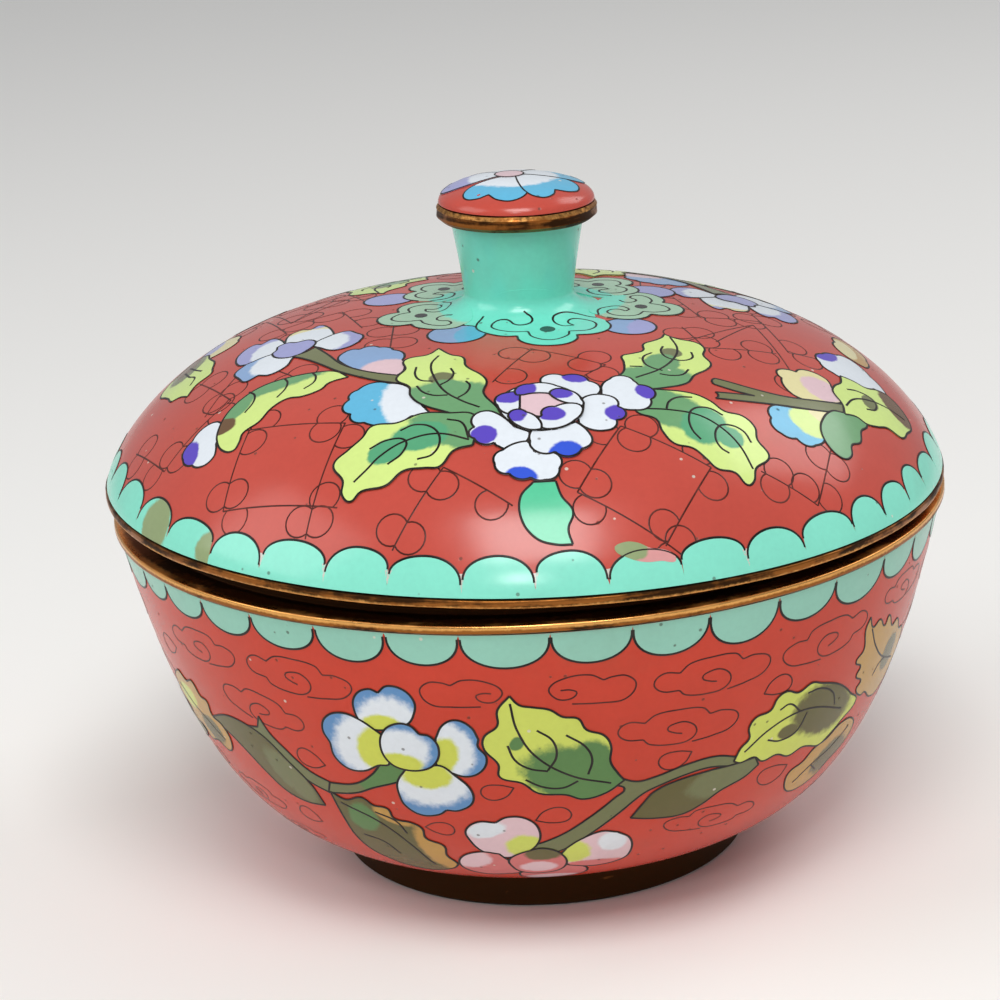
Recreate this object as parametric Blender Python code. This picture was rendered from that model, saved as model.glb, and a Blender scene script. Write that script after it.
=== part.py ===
"""Cloisonne lidded bowl, in metres, +Z up, standing on its foot ring at z = 0.

A turned copper bowl and a domed lid are both covered with enamel inside and out.
Turned brass makes the foot ring, the bowl's rim, the lid's rim and the band of the knob.
The lid lifts off. It sits a little askew: at -X its inner lip has ridden up on the bowl's seat.
"""
import math

import bmesh
import bpy

# ---- driving dimensions, in metres ----
SEGMENTS = 48                       # steps round every turned piece
GAP = 0.0003                        # clearance between pieces that touch

FOOT_RADIUS = 0.0396                # foot ring, outside, where it stands
FOOT_NECK_RADIUS = 0.0386           # foot ring, outside, where it meets the bowl
FOOT_WALL = 0.0030
FOOT_HEIGHT = 0.0060                # floor to the lowest point of the bowl

BOWL_RADIUS = 0.0789                # enamelled outside at the mouth
BOWL_RISE = 0.06325                 # lowest point of the bowl to the underside of its rim
BOWL_POWER = 5.72                   # height grows as (radius / BOWL_RADIUS) ** BOWL_POWER
WALL = 0.0020                       # copper with enamel on both faces

BOWL_RIM_RADIUS = 0.0796
BOWL_RIM_THICKNESS = 0.0015
MOUTH_RADIUS = 0.0720               # clear opening through the bowl's rim
SEAT_RADIUS = 0.0740                # the raised seat runs from the mouth out to here
SEAT_HEIGHT = 0.0013
RIM_ROUNDING = 0.0004

LID_TILT = math.radians(1.165)      # about +Y: the -X side is the high one
LID_LIFT = 0.00314                  # bowl's ledge to the middle of the lid's underside
LID_SHIFT = -0.0006                 # along X
LID_RIM_RADIUS = 0.0801
LID_RIM_THICKNESS = 0.0015
LIP_RADIUS = 0.0715                 # locating lip under the lid, outside
LIP_WALL = 0.0014
LIP_DEPTH = 0.00275

LID_RADIUS = 0.0798                 # enamelled outside of the dome
LID_RISE = 0.0303                   # top of the lid's rim to the crown of the dome
LID_POWER = 3.32                    # the dome is a superellipse with these two powers
LID_SQUASH = 0.752

NECK_FOOT_RADIUS = 0.0170           # where the neck flows out of the dome
NECK_WAIST_RADIUS = 0.0104
NECK_WAIST_HEIGHT = 0.0355          # heights on the lid are above its underside
NECK_TOP_RADIUS = 0.0125
NECK_FLARE = 1.2
KNOB_RADIUS = 0.0151
KNOB_BAND_LOW = 0.0495
KNOB_BAND_HIGH = 0.0525
CAP_RADIUS = 0.0147
CAP_RISE = 0.0044
CAP_POWER = 2.2

# ---- heights worked out from them ----
RIM_UNDERSIDE = FOOT_HEIGHT + BOWL_RISE
LEDGE = RIM_UNDERSIDE + BOWL_RIM_THICKNESS


def bowl_outside(radius):
    """Height of the bowl's outer surface at a radius."""
    return FOOT_HEIGHT + BOWL_RISE * (radius / BOWL_RADIUS) ** BOWL_POWER


def dome_point(angle, radius=LID_RADIUS, rise=LID_RISE):
    """Point of the lid's outer curve, from the rim (0) to the crown (a right angle)."""
    return (radius * math.cos(angle) ** (2 / LID_POWER),
            LID_RIM_THICKNESS + rise * math.sin(angle) ** (2 * LID_SQUASH))


def offset_inwards(curve, distance):
    """A curve that runs at a constant distance to the left of the given one."""
    moved = []
    for index, (radius, height) in enumerate(curve):
        before = curve[max(index - 1, 0)]
        after = curve[min(index + 1, len(curve) - 1)]
        run, rise = after[0] - before[0], after[1] - before[1]
        length = math.hypot(run, rise)
        moved.append((max(radius - distance * rise / length, 0.0), height + distance * run / length))
    return moved


def material(name, color, roughness, metallic=0.0):
    finish = bpy.data.materials.new(name)
    finish.use_nodes = True
    shader = finish.node_tree.nodes["Principled BSDF"]
    shader.inputs["Base Color"].default_value = (*color, 1.0)
    shader.inputs["Roughness"].default_value = roughness
    shader.inputs["Metallic"].default_value = metallic
    finish.diffuse_color = (*color, 1.0)
    return finish


def turned(name, profile, finish, parent=None):
    """Solid of revolution about Z. A profile that starts and ends on the axis is an open chain."""
    on_axis = profile[0][0] == 0.0 and profile[-1][0] == 0.0
    shape = bmesh.new()
    points = [shape.verts.new((radius, 0.0, height)) for radius, height in profile]
    lines = [shape.edges.new(pair) for pair in zip(points, points[1:])]
    if not on_axis:
        lines.append(shape.edges.new((points[-1], points[0])))
    bmesh.ops.spin(shape, geom=points + lines, cent=(0, 0, 0), axis=(0, 0, 1),
                   angle=2 * math.pi, steps=SEGMENTS, use_merge=True)
    bmesh.ops.remove_doubles(shape, verts=shape.verts, dist=1e-6)
    bmesh.ops.recalc_face_normals(shape, faces=shape.faces)
    mesh = bpy.data.meshes.new(name)
    shape.to_mesh(mesh)
    shape.free()
    mesh.shade_smooth()
    mesh.set_sharp_from_angle(angle=math.radians(35))
    mesh.materials.append(finish)
    piece = bpy.data.objects.new(name, mesh)
    bpy.context.collection.objects.link(piece)
    piece.parent = parent
    return piece


def foot_ring(brass):
    """Low turned ring whose top follows the underside of the bowl."""
    inner = FOOT_RADIUS - FOOT_WALL
    top_inner = FOOT_NECK_RADIUS - FOOT_WALL * 0.8
    profile = [(inner, 0.0), (FOOT_RADIUS - RIM_ROUNDING, 0.0), (FOOT_RADIUS, RIM_ROUNDING),
               (FOOT_NECK_RADIUS, FOOT_HEIGHT * 0.6),
               (FOOT_NECK_RADIUS, bowl_outside(FOOT_NECK_RADIUS) - GAP),
               (top_inner, bowl_outside(top_inner) - GAP)]
    turned("foot_ring", profile, brass)


def bowl_body(enamel):
    """Hollow enamelled bowl, open at the mouth."""
    steps = 13
    top = RIM_UNDERSIDE - GAP
    mouth = BOWL_RADIUS * ((top - FOOT_HEIGHT) / BOWL_RISE) ** (1 / BOWL_POWER)
    radii = [mouth * math.sqrt(index / steps) for index in range(steps + 1)]
    outside = [(radius, bowl_outside(radius)) for radius in radii]
    inside = offset_inwards(outside, WALL)
    inside[-1] = (mouth - WALL, top)
    turned("bowl_body", outside + inside[::-1], enamel)


def bowl_rim(brass):
    """Flat ring on the bowl's mouth: an outer ledge and a raised seat beside the opening."""
    profile = [(MOUTH_RADIUS, RIM_UNDERSIDE), (BOWL_RIM_RADIUS - RIM_ROUNDING, RIM_UNDERSIDE),
               (BOWL_RIM_RADIUS, RIM_UNDERSIDE + RIM_ROUNDING),
               (BOWL_RIM_RADIUS, LEDGE - RIM_ROUNDING),
               (BOWL_RIM_RADIUS - RIM_ROUNDING, LEDGE), (SEAT_RADIUS, LEDGE),
               (SEAT_RADIUS, LEDGE + SEAT_HEIGHT), (MOUTH_RADIUS, LEDGE + SEAT_HEIGHT)]
    turned("bowl_rim", profile, brass)


def lid_rim(brass, lid):
    """Flat ring under the dome, with the lip that keeps the lid in the bowl's mouth."""
    lip_inside = LIP_RADIUS - LIP_WALL
    profile = [(lip_inside, -LIP_DEPTH), (LIP_RADIUS, -LIP_DEPTH), (LIP_RADIUS, 0.0),
               (LID_RIM_RADIUS - RIM_ROUNDING, 0.0), (LID_RIM_RADIUS, RIM_ROUNDING),
               (LID_RIM_RADIUS, LID_RIM_THICKNESS - RIM_ROUNDING),
               (LID_RIM_RADIUS - RIM_ROUNDING, LID_RIM_THICKNESS), (lip_inside, LID_RIM_THICKNESS)]
    turned("lid_rim", profile, brass, lid)


def lid_body(enamel, lid):
    """Hollow enamelled dome whose crown rises into the neck of the knob."""
    dome_steps, fillet_steps, neck_steps = 13, 5, 4
    first = math.asin((GAP / LID_RISE) ** (0.5 / LID_SQUASH))
    last = math.acos((NECK_FOOT_RADIUS / LID_RADIUS) ** (LID_POWER / 2))
    dome = [dome_point(first + (last - first) * index / dome_steps) for index in range(dome_steps + 1)]
    foot_height = dome[-1][1]
    fillet = []
    for index in range(1, fillet_steps + 1):
        angle = math.pi / 2 * index / fillet_steps
        fillet.append((NECK_FOOT_RADIUS + (NECK_WAIST_RADIUS - NECK_FOOT_RADIUS) * math.sin(angle),
                       foot_height + (NECK_WAIST_HEIGHT - foot_height) * (1 - math.cos(angle))))
    top = KNOB_BAND_LOW - GAP
    neck = []
    for index in range(1, neck_steps + 1):
        share = index / neck_steps
        neck.append((NECK_WAIST_RADIUS + (NECK_TOP_RADIUS - NECK_WAIST_RADIUS) * share ** NECK_FLARE,
                     NECK_WAIST_HEIGHT + (top - NECK_WAIST_HEIGHT) * share))
    inside = offset_inwards(dome, WALL)
    inside[0] = (dome[0][0] - WALL, dome[0][1])
    crown = (0.0, LID_RIM_THICKNESS + LID_RISE - WALL)
    turned("lid_body", [(0.0, top)] + (dome + fillet + neck)[::-1] + inside + [crown], enamel, lid)


def knob_band(brass, lid):
    """Brass disc with a rounded edge that frames the knob's cap."""
    edge = KNOB_RADIUS - RIM_ROUNDING
    profile = [(0.0, KNOB_BAND_LOW), (edge, KNOB_BAND_LOW), (KNOB_RADIUS, KNOB_BAND_LOW + RIM_ROUNDING),
               (KNOB_RADIUS, KNOB_BAND_HIGH - RIM_ROUNDING), (edge, KNOB_BAND_HIGH), (0.0, KNOB_BAND_HIGH)]
    turned("knob_band", profile, brass, lid)


def knob_cap(enamel, lid):
    """Low enamelled dome on top of the knob."""
    steps = 7
    base = KNOB_BAND_HIGH + GAP
    dome = []
    for index in range(steps + 1):
        angle = math.pi / 2 * index / steps
        share = max(math.cos(angle), 0.0) if index < steps else 0.0
        dome.append((CAP_RADIUS * share ** (2 / CAP_POWER), base + CAP_RISE * math.sin(angle)))
    turned("knob_cap", [(0.0, base)] + dome, enamel, lid)


def main():
    for item in list(bpy.data.objects):
        bpy.data.objects.remove(item, do_unlink=True)

    lid = bpy.data.objects.new("lid", None)
    lid.location = (LID_SHIFT, 0.0, LEDGE + LID_LIFT)
    lid.rotation_euler = (0.0, LID_TILT, 0.0)
    bpy.context.collection.objects.link(lid)

    foot_ring(material("dark_brass", (0.20, 0.12, 0.05), 0.45, 1.0))
    bowl_body(material("bowl_enamel", (0.45, 0.04, 0.03), 0.25))
    bowl_rim(material("bowl_brass", (0.36, 0.19, 0.07), 0.35, 1.0))
    lid_rim(material("lid_brass", (0.32, 0.17, 0.07), 0.38, 1.0), lid)
    lid_body(material("lid_enamel", (0.52, 0.07, 0.05), 0.25), lid)
    knob_band(material("knob_brass", (0.38, 0.22, 0.09), 0.38, 1.0), lid)
    knob_cap(material("cap_enamel", (0.50, 0.09, 0.06), 0.25), lid)


main()
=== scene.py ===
"""Cloisonne lidded bowl: enamel pictures, wires and brass over the turned pieces.

Every picture is drawn flat, in millimetres, as an enameller lays wires on paper, and is then bent
onto its turned surface. On the lid and the cap x runs to the right and y towards the viewer, both
measured along the dome from its crown. On the bowl x runs round the wall from the front and y down
from the rim. A cell is a pool of enamel inside one wire, and patches of a second colour lie in it.
"""
import math
import random

import bmesh
import bpy
from bpy.props import FloatProperty, FloatVectorProperty, IntProperty, PointerProperty
from mathutils import Matrix, Vector, noise
from mathutils.geometry import interpolate_bezier


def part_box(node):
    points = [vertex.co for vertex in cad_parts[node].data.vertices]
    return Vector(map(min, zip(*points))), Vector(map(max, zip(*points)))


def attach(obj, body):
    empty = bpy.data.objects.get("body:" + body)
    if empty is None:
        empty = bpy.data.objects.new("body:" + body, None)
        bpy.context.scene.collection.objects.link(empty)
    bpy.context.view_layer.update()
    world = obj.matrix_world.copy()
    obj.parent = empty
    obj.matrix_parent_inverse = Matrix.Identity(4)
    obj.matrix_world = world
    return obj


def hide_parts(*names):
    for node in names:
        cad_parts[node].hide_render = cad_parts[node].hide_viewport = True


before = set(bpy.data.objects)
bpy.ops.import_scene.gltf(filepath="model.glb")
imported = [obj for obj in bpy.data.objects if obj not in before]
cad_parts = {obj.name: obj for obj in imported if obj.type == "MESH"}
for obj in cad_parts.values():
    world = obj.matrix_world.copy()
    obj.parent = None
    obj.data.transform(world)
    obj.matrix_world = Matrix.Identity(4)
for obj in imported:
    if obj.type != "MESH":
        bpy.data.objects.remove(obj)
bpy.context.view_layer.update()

bl_info = {
    "name": "Cloisonne lidded bowl",
    "version": (1, 0, 0),
    "blender": (4, 5, 0),
    "location": "3D View > Sidebar > Bowl",
    "description": "Enamel pictures, wires and brass of a cloisonne lidded bowl",
    "category": "Add Mesh",
}

MM = 0.001                          # the drawings are in millimetres

# ---- turned profiles, in metres, as the frame's solids have them ----
GAP = 0.0003
FOOT_RADIUS = 0.0396
FOOT_NECK_RADIUS = 0.0386
FOOT_WALL = 0.0030
FOOT_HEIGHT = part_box("bowl_body")[0].z
BOWL_RADIUS = 0.0789
BOWL_RISE = 0.06325
BOWL_POWER = 5.72
WALL = 0.0020
BOWL_RIM_RADIUS = 0.0796
BOWL_RIM_THICKNESS = 0.0015
MOUTH_RADIUS = 0.0720
SEAT_RADIUS = 0.0740
SEAT_HEIGHT = 0.0013
RIM_UNDERSIDE = FOOT_HEIGHT + BOWL_RISE
LEDGE = RIM_UNDERSIDE + BOWL_RIM_THICKNESS
LID_TILT = math.radians(1.165)
LID_LIFT = 0.00314
LID_SHIFT = -0.0006
LID_RIM_RADIUS = 0.0801
LID_RIM_THICKNESS = 0.0015
LIP_RADIUS = 0.0715
LIP_WALL = 0.0014
LIP_DEPTH = 0.00275
LID_RADIUS = 0.0798
LID_RISE = 0.0303
LID_POWER = 3.32
LID_SQUASH = 0.752
NECK_FOOT_RADIUS = 0.0170
NECK_WAIST_RADIUS = 0.0104
NECK_WAIST_HEIGHT = 0.0355
NECK_TOP_RADIUS = 0.0125
NECK_FLARE = 1.2
KNOB_RADIUS = 0.0151
KNOB_BAND_LOW = 0.0495
KNOB_BAND_HIGH = 0.0525
CAP_RADIUS = 0.0147
CAP_RISE = 0.0044
CAP_POWER = 2.2
RIM_ROUNDING = 0.0004
NECK_EDGE = 0.0158                  # radius where the turquoise of the neck ends

LID_FRAME = Matrix.Translation((LID_SHIFT, 0.0, LEDGE + LID_LIFT)) @ Matrix.Rotation(LID_TILT, 4, "Y")

# ---- the stage and the view ----
FLOOR_SIZE = 6.0
FLOOR_DROP = 0.0002                 # below the foot, so that the two don't share a plane
WORLD_STRENGTH = 0.42
# Name, place, width and power of each square lamp. All look at the middle of the mouth.
LAMPS = (("key", (0.05, -0.55, 0.95), 0.45, 5.2), ("glint", (-0.02, -0.86, 0.66), 0.14, 0.9),
         ("left", (-0.9, -0.2, 0.7), 0.7, 3.0), ("right", (0.8, 0.5, 0.9), 0.6, 3.0))
CAMERA_DISTANCE = 0.6               # from the middle of the bowl's mouth
CAMERA_ELEVATION = math.radians(17.543)
CAMERA_PITCH = math.radians(0.285)
CAMERA_YAW = math.radians(-0.529)
CAMERA_ROLL = math.radians(2.859)
CAMERA_LENS = 111.92                # mm on a 36 mm wide sensor


# =============================================================================================
# settings
# =============================================================================================

def shade(label, red, green, blue):
    """A colour property from a red, green and blue of 0 to 255."""
    return FloatVectorProperty(name=label, description=f"Colour of the {label.lower()}", size=3,
                               min=0.0, max=1.0, subtype="COLOR_GAMMA",
                               default=(red / 255, green / 255, blue / 255))


class BowlColors(bpy.types.PropertyGroup):
    """Enamels and metals of the bowl, as sRGB colours"""
    lid_brick: shade("Brick red ground of the lid", 190, 72, 58)
    bowl_brick: shade("Brick red ground of the bowl", 198, 60, 38)
    lid_turquoise: shade("Turquoise scallops of the lid", 132, 222, 198)
    neck_turquoise: shade("Turquoise of the neck", 114, 222, 198)
    collar_green: shade("Pale green of the collar", 165, 200, 170)
    bowl_turquoise: shade("Turquoise scallops of the bowl", 145, 200, 180)
    lining: shade("Turquoise lining", 96, 188, 176)
    white: shade("White petals", 222, 228, 234)
    cream: shade("Cream petals", 225, 215, 160)
    purple: shade("Purple petal tips", 88, 66, 186)
    royal: shade("Royal blue petal tips", 48, 84, 208)
    sky: shade("Sky blue petals", 92, 178, 214)
    steel: shade("Grey blue petals", 134, 165, 206)
    lilac: shade("Lilac petals", 156, 158, 206)
    pink: shade("Pink petals", 222, 190, 196)
    rose: shade("Rose petals", 206, 110, 108)
    azure: shade("Blue edges of the bowl's petals", 94, 140, 188)
    lemon: shade("Yellow hearts of the bowl's petals", 204, 210, 84)
    leaf: shade("Yellow green leaves", 206, 228, 132)
    bowl_leaf: shade("Yellow green leaves of the bowl", 204, 214, 96)
    green: shade("Green leaf stalks", 104, 156, 106)
    jade: shade("Jade green leaf veins", 82, 160, 116)
    sepal: shade("Green sepal", 84, 196, 150)
    moss: shade("Moss green of the bowl's leaves", 88, 128, 72)
    olive: shade("Olive stems", 112, 116, 76)
    bronze: shade("Bronze green leaves", 96, 90, 46)
    brown: shade("Brown leaf stalks", 104, 74, 44)
    gold: shade("Golden leaves", 190, 146, 70)
    black: shade("Black dots", 26, 26, 24)
    chalk: shade("Chalky filler in the cusps", 205, 196, 186)
    stain: shade("Olive stains", 142, 158, 112)
    repair: shade("Pink repair", 214, 150, 148)
    wire: shade("Outline wires", 26, 20, 16)
    fine_wire: shade("Fine wires of the ground", 70, 24, 16)
    bright_brass: shade("Rubbed brass", 232, 170, 96)
    brown_brass: shade("Brown brass", 150, 92, 42)
    # The tarnished brass also serves as painted shade on the foot and in the gap under the lid.
    dark_brass: shade("Tarnished brass", 34, 24, 16)
    floor: shade("Floor", 246, 244, 240)


class BowlSizes(bpy.types.PropertyGroup):
    """Thickness of wires and enamel, and the fineness of the meshes"""
    bold_wire: FloatProperty(name="Outline wire", description="Width of the outline wires",
                             default=0.00044, min=0.0002, max=0.001, subtype="DISTANCE")
    fine_wire: FloatProperty(name="Ground wire", description="Width of the wires in the ground",
                             default=0.00033, min=0.0001, max=0.001, subtype="DISTANCE")
    enamel_lift: FloatProperty(name="Enamel lift", description="Height of a cell above the ground",
                               default=0.00006, min=0.00002, max=0.0003, subtype="DISTANCE")
    wire_lift: FloatProperty(name="Wire lift", description="Height of a wire above its cell",
                             default=0.00004, min=0.00001, max=0.0003, subtype="DISTANCE")
    round_steps: IntProperty(name="Steps round", description="Faces round each turned piece",
                             default=192, min=48, max=384)


class BowlSettings(bpy.types.PropertyGroup):
    """All settings of the bowl"""
    colors: PointerProperty(type=BowlColors)
    sizes: PointerProperty(type=BowlSizes)


def colors():
    return bpy.context.scene.lidded_bowl.colors


def sizes():
    return bpy.context.scene.lidded_bowl.sizes


def linear(name):
    """A named colour as the linear values that shaders and attributes take."""
    values = []
    for channel in getattr(colors(), name):
        values.append(channel / 12.92 if channel <= 0.04045 else ((channel + 0.055) / 1.055) ** 2.4)
    return (*values, 1.0)


# =============================================================================================
# drawing: smooth runs, arcs and corners
# =============================================================================================
# A point is (x, y) on a smooth line, (x, y, 0) at a corner, or (x, y, bulge) at a corner where an
# arc starts. The bulge is the arc's height over half its chord, and is outwards when positive.

POINT_STEP = 0.55                   # mm between the points of a line


def arc_points(start, end, bulge):
    """Points on an arc from start up to, but without, end."""
    (x0, y0), (x1, y1) = start, end
    half = math.hypot(x1 - x0, y1 - y0) / 2
    turn = 4 * math.atan(abs(bulge))
    count = max(3, math.ceil(half * turn / math.sin(turn / 2) / POINT_STEP))
    along = Vector((x1 - x0, y1 - y0)) / (2 * half)
    outwards = Vector((along.y, -along.x)) * math.copysign(1.0, bulge)
    middle = Vector(((x0 + x1) / 2, (y0 + y1) / 2))
    points = []
    for index in range(count):
        angle = turn * (index / count - 0.5)
        reach = half / math.sin(turn / 2)
        point = middle + along * math.sin(angle) * reach
        point += outwards * (math.cos(angle) - math.cos(turn / 2)) * reach
        points.append((point.x, point.y))
    return points


def smooth_points(knots, closed):
    """Points on a smooth line through the knots; an open line includes its last knot."""
    count = len(knots)
    knots = [Vector(knot) for knot in knots]
    tangents = []
    for index in range(count):
        before = knots[index - 1] if closed or index > 0 else knots[0]
        after = knots[(index + 1) % count] if closed or index < count - 1 else knots[-1]
        tangents.append((after - before).normalized())
    points = []
    for index in range(count if closed else count - 1):
        start, end = knots[index], knots[(index + 1) % count]
        length = (end - start).length
        steps = max(2, math.ceil(length / POINT_STEP) + 1)
        bend = interpolate_bezier(start, start + tangents[index] * length * 0.36,
                                  end - tangents[(index + 1) % count] * length * 0.36, end, steps)
        points += [(point.x, point.y) for point in bend[:-1]]
    if not closed:
        points.append(tuple(knots[-1]))
    return points


def clockwise(points):
    """1 for an outline that is drawn clockwise, as seen with y downwards, and otherwise -1."""
    area = sum(a[0] * b[1] - b[0] * a[1] for a, b in zip(points, points[1:] + points[:1]))
    return 1 if area > 0 else -1


def runs_of(points, closed):
    """The drawn line as runs that end at its corners. A closed line without corners is one run."""
    side = clockwise(points) if closed else 1
    corners = [index for index, point in enumerate(points) if len(point) == 3]
    if not corners:
        run = smooth_points(points, closed)
        return [run + run[:1]] if closed else [run]
    if closed:
        points = points[corners[0]:] + points[:corners[0]] + [points[corners[0]]]
    runs, knots = [], []
    for index, point in enumerate(points):
        knots.append(point[:2])
        last = index == len(points) - 1
        ends = last or len(point) == 3 or (index > 0 and len(points[index - 1]) == 3 and points[index - 1][2])
        if ends and len(knots) > 1:
            runs.append(smooth_points(knots, False))
            knots = [point[:2]]
        if not last and len(point) == 3 and point[2]:
            arc = arc_points(point[:2], points[index + 1][:2], point[2] * side)
            runs.append(arc + [points[index + 1][:2]])
            knots = []
    return runs


def outline_of(runs):
    """The runs of a closed line joined into one outline."""
    outline = []
    for run in runs:
        outline += run[:-1]
    return outline


def inside(point, outline):
    x, y = point
    crossed = False
    for (x0, y0), (x1, y1) in zip(outline, outline[1:] + outline[:1]):
        if (y0 > y) != (y1 > y) and x < (x1 - x0) * (y - y0) / (y1 - y0) + x0:
            crossed = not crossed
    return crossed


# =============================================================================================
# turned surfaces
# =============================================================================================

def bowl_outside(radius):
    """Height of the bowl's outer surface at a radius."""
    return FOOT_HEIGHT + BOWL_RISE * (radius / BOWL_RADIUS) ** BOWL_POWER


def dome_point(angle):
    """Point of the lid's outer curve, from the rim (0) to the crown (a right angle)."""
    return (LID_RADIUS * max(math.cos(angle), 0.0) ** (2 / LID_POWER),
            LID_RIM_THICKNESS + LID_RISE * math.sin(angle) ** (2 * LID_SQUASH))


def spaced(function, start, end, steps):
    return [function(start + (end - start) * index / steps) for index in range(steps + 1)]


def dome_profile(steps):
    """The dome from the rim up to the foot of the neck."""
    first = math.asin((GAP / LID_RISE) ** (0.5 / LID_SQUASH))
    last = math.acos((NECK_FOOT_RADIUS / LID_RADIUS) ** (LID_POWER / 2))
    return spaced(dome_point, first, last, steps)


def neck_profile(fillet_steps, neck_steps):
    """The neck from its foot on the dome up to the band of the knob."""
    foot_height = dome_profile(2)[-1][1]

    def fillet(angle):
        return (NECK_FOOT_RADIUS + (NECK_WAIST_RADIUS - NECK_FOOT_RADIUS) * math.sin(angle),
                foot_height + (NECK_WAIST_HEIGHT - foot_height) * (1 - math.cos(angle)))

    def flare(share):
        return (NECK_WAIST_RADIUS + (NECK_TOP_RADIUS - NECK_WAIST_RADIUS) * share ** NECK_FLARE,
                NECK_WAIST_HEIGHT + (KNOB_BAND_LOW - GAP - NECK_WAIST_HEIGHT) * share)

    return spaced(fillet, 0.0, math.pi / 2, fillet_steps) + spaced(flare, 0.0, 1.0, neck_steps)[1:]


def cap_profile(steps):
    """The cap of the knob from its edge to its crown."""
    def cap_point(angle):
        return (CAP_RADIUS * max(math.cos(angle), 0.0) ** (2 / CAP_POWER),
                KNOB_BAND_HIGH + GAP + CAP_RISE * math.sin(angle))

    points = spaced(cap_point, 0.0, math.pi / 2, steps)
    return points[:-1] + [(0.0, points[-1][1])]


def bowl_profile(steps):
    """The bowl's outer wall from its mouth down to its lowest point."""
    mouth = BOWL_RADIUS * ((BOWL_RISE - GAP) / BOWL_RISE) ** (1 / BOWL_POWER)

    def wall_point(share):
        radius = mouth * math.sqrt(share)
        return (radius, bowl_outside(radius))

    return spaced(wall_point, 1.0, 0.0, steps)


SECTOR = 1000.0                     # mm between the drawings of different sides of the bowl
_sectors = [0.0]


def facing(angle):
    """The x, in mm, about which a drawing lies that is bent onto the bowl at this angle."""
    if angle not in _sectors:
        _sectors.append(angle)
    return _sectors.index(angle) * SECTOR


class Skin:
    """The outer surface of a turned piece, which flat drawings are bent onto."""

    def __init__(self, profile, polar, matrix=Matrix.Identity(4), start=0.0):
        """profile runs towards larger arc lengths, whose first one is start, in metres."""
        self.polar = polar
        self.matrix = matrix
        self.profile = profile
        self.arcs = [start]
        for before, after in zip(profile, profile[1:]):
            self.arcs.append(self.arcs[-1] + math.dist(before, after))

    def at(self, arc):
        """Radius, height, and the outward normal's parts along radius and height."""
        low, high = 0, len(self.arcs) - 2
        while low < high:
            middle = (low + high + 1) // 2
            if self.arcs[middle] <= arc:
                low = middle
            else:
                high = middle - 1
        share = (arc - self.arcs[low]) / (self.arcs[low + 1] - self.arcs[low])
        share = min(max(share, 0.0), 1.0)
        (r0, z0), (r1, z1) = self.profile[low], self.profile[low + 1]
        length = math.hypot(r1 - r0, z1 - z0)
        return r0 + (r1 - r0) * share, z0 + (z1 - z0) * share, -(z1 - z0) / length, (r1 - r0) / length

    def bend(self, point):
        """A point of the flat drawing, in millimetres, on the surface. Its z is its lift, in metres."""
        if self.polar:
            arc, angle = math.hypot(point.x, point.y) * MM, math.atan2(point.x, point.y)
            radius, height, outwards, upwards = self.at(arc)
        else:
            radius, height, outwards, upwards = self.at(point.y * MM)
            sector = round(point.x / SECTOR)
            angle = _sectors[sector] + (point.x - sector * SECTOR) * MM / max(radius, 0.001)
        radius += outwards * point.z
        height += upwards * point.z
        return self.matrix @ Vector((radius * math.sin(angle), -radius * math.cos(angle), height))


def lid_skin():
    """Arc lengths on the lid are measured on the dome from its crown, and run on up the neck."""
    crown = spaced(dome_point, math.pi / 2, math.acos((NECK_FOOT_RADIUS / LID_RADIUS) ** (LID_POWER / 2)),
                   60)
    crown_arc = sum(math.dist(before, after) for before, after in zip(crown, crown[1:]))
    neck = neck_profile(40, 30)
    neck_arc = sum(math.dist(before, after) for before, after in zip(neck, neck[1:]))
    return Skin(neck[::-1] + dome_profile(240)[::-1][1:], True, LID_FRAME, crown_arc - neck_arc)


def bowl_skin():
    return Skin(bowl_profile(240), False)


def cap_skin():
    return Skin(cap_profile(60)[::-1], True, LID_FRAME)


# =============================================================================================
# cells, wires and pictures
# =============================================================================================

CELL_GRID = 2.0                     # mm between the cuts that let a cell bend
FINE_GRID = 0.8                     # and where the surface bends sharply
LEVEL = 0.00003                     # each cell that overlaps another lies this much higher
SPREAD = 10.0                       # flat drawings keep their levels this far apart while wired
PATCHES = 3
NO_PATCH = (9.0, 9.0)


class Cell:
    """A pool of enamel with its patches of other colours, its outline wire and its vein wires."""

    def __init__(self, points, enamel, patches=(), veins=(), wired=True, group=""):
        self.points = list(points)
        self.enamel = enamel
        self.patches = list(patches)    # (colour, x, y, half width, half height, turn in degrees)
        self.veins = [list(vein) for vein in veins]
        self.wired = wired
        self.group = group
        self.level = 0
        self.finish()

    def finish(self):
        self.runs = runs_of(self.points, True)
        self.outline = outline_of(self.runs)
        xs, ys = [point[0] for point in self.outline], [point[1] for point in self.outline]
        self.box = (min(xs), min(ys), max(xs), max(ys))

    def covers(self, point):
        x0, y0, x1, y1 = self.box
        return x0 <= point[0] <= x1 and y0 <= point[1] <= y1 and inside(point, self.outline)

    def meets(self, other):
        if self.box[0] > other.box[2] or self.box[2] < other.box[0]:
            return False
        if self.box[1] > other.box[3] or self.box[3] < other.box[1]:
            return False
        return any(other.covers(p) for p in self.outline) or any(self.covers(p) for p in other.outline)


def moved_points(points, dx, dy, turn, size, flip):
    """Drawn points scaled, mirrored left to right, turned clockwise on the drawing and moved."""
    cos, sin = math.cos(math.radians(turn)), math.sin(math.radians(turn))
    result = []
    for point in points:
        x, y = point[0] * size * (-1 if flip else 1), point[1] * size
        result.append((x * cos - y * sin + dx, x * sin + y * cos + dy, *point[2:]))
    return result


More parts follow.
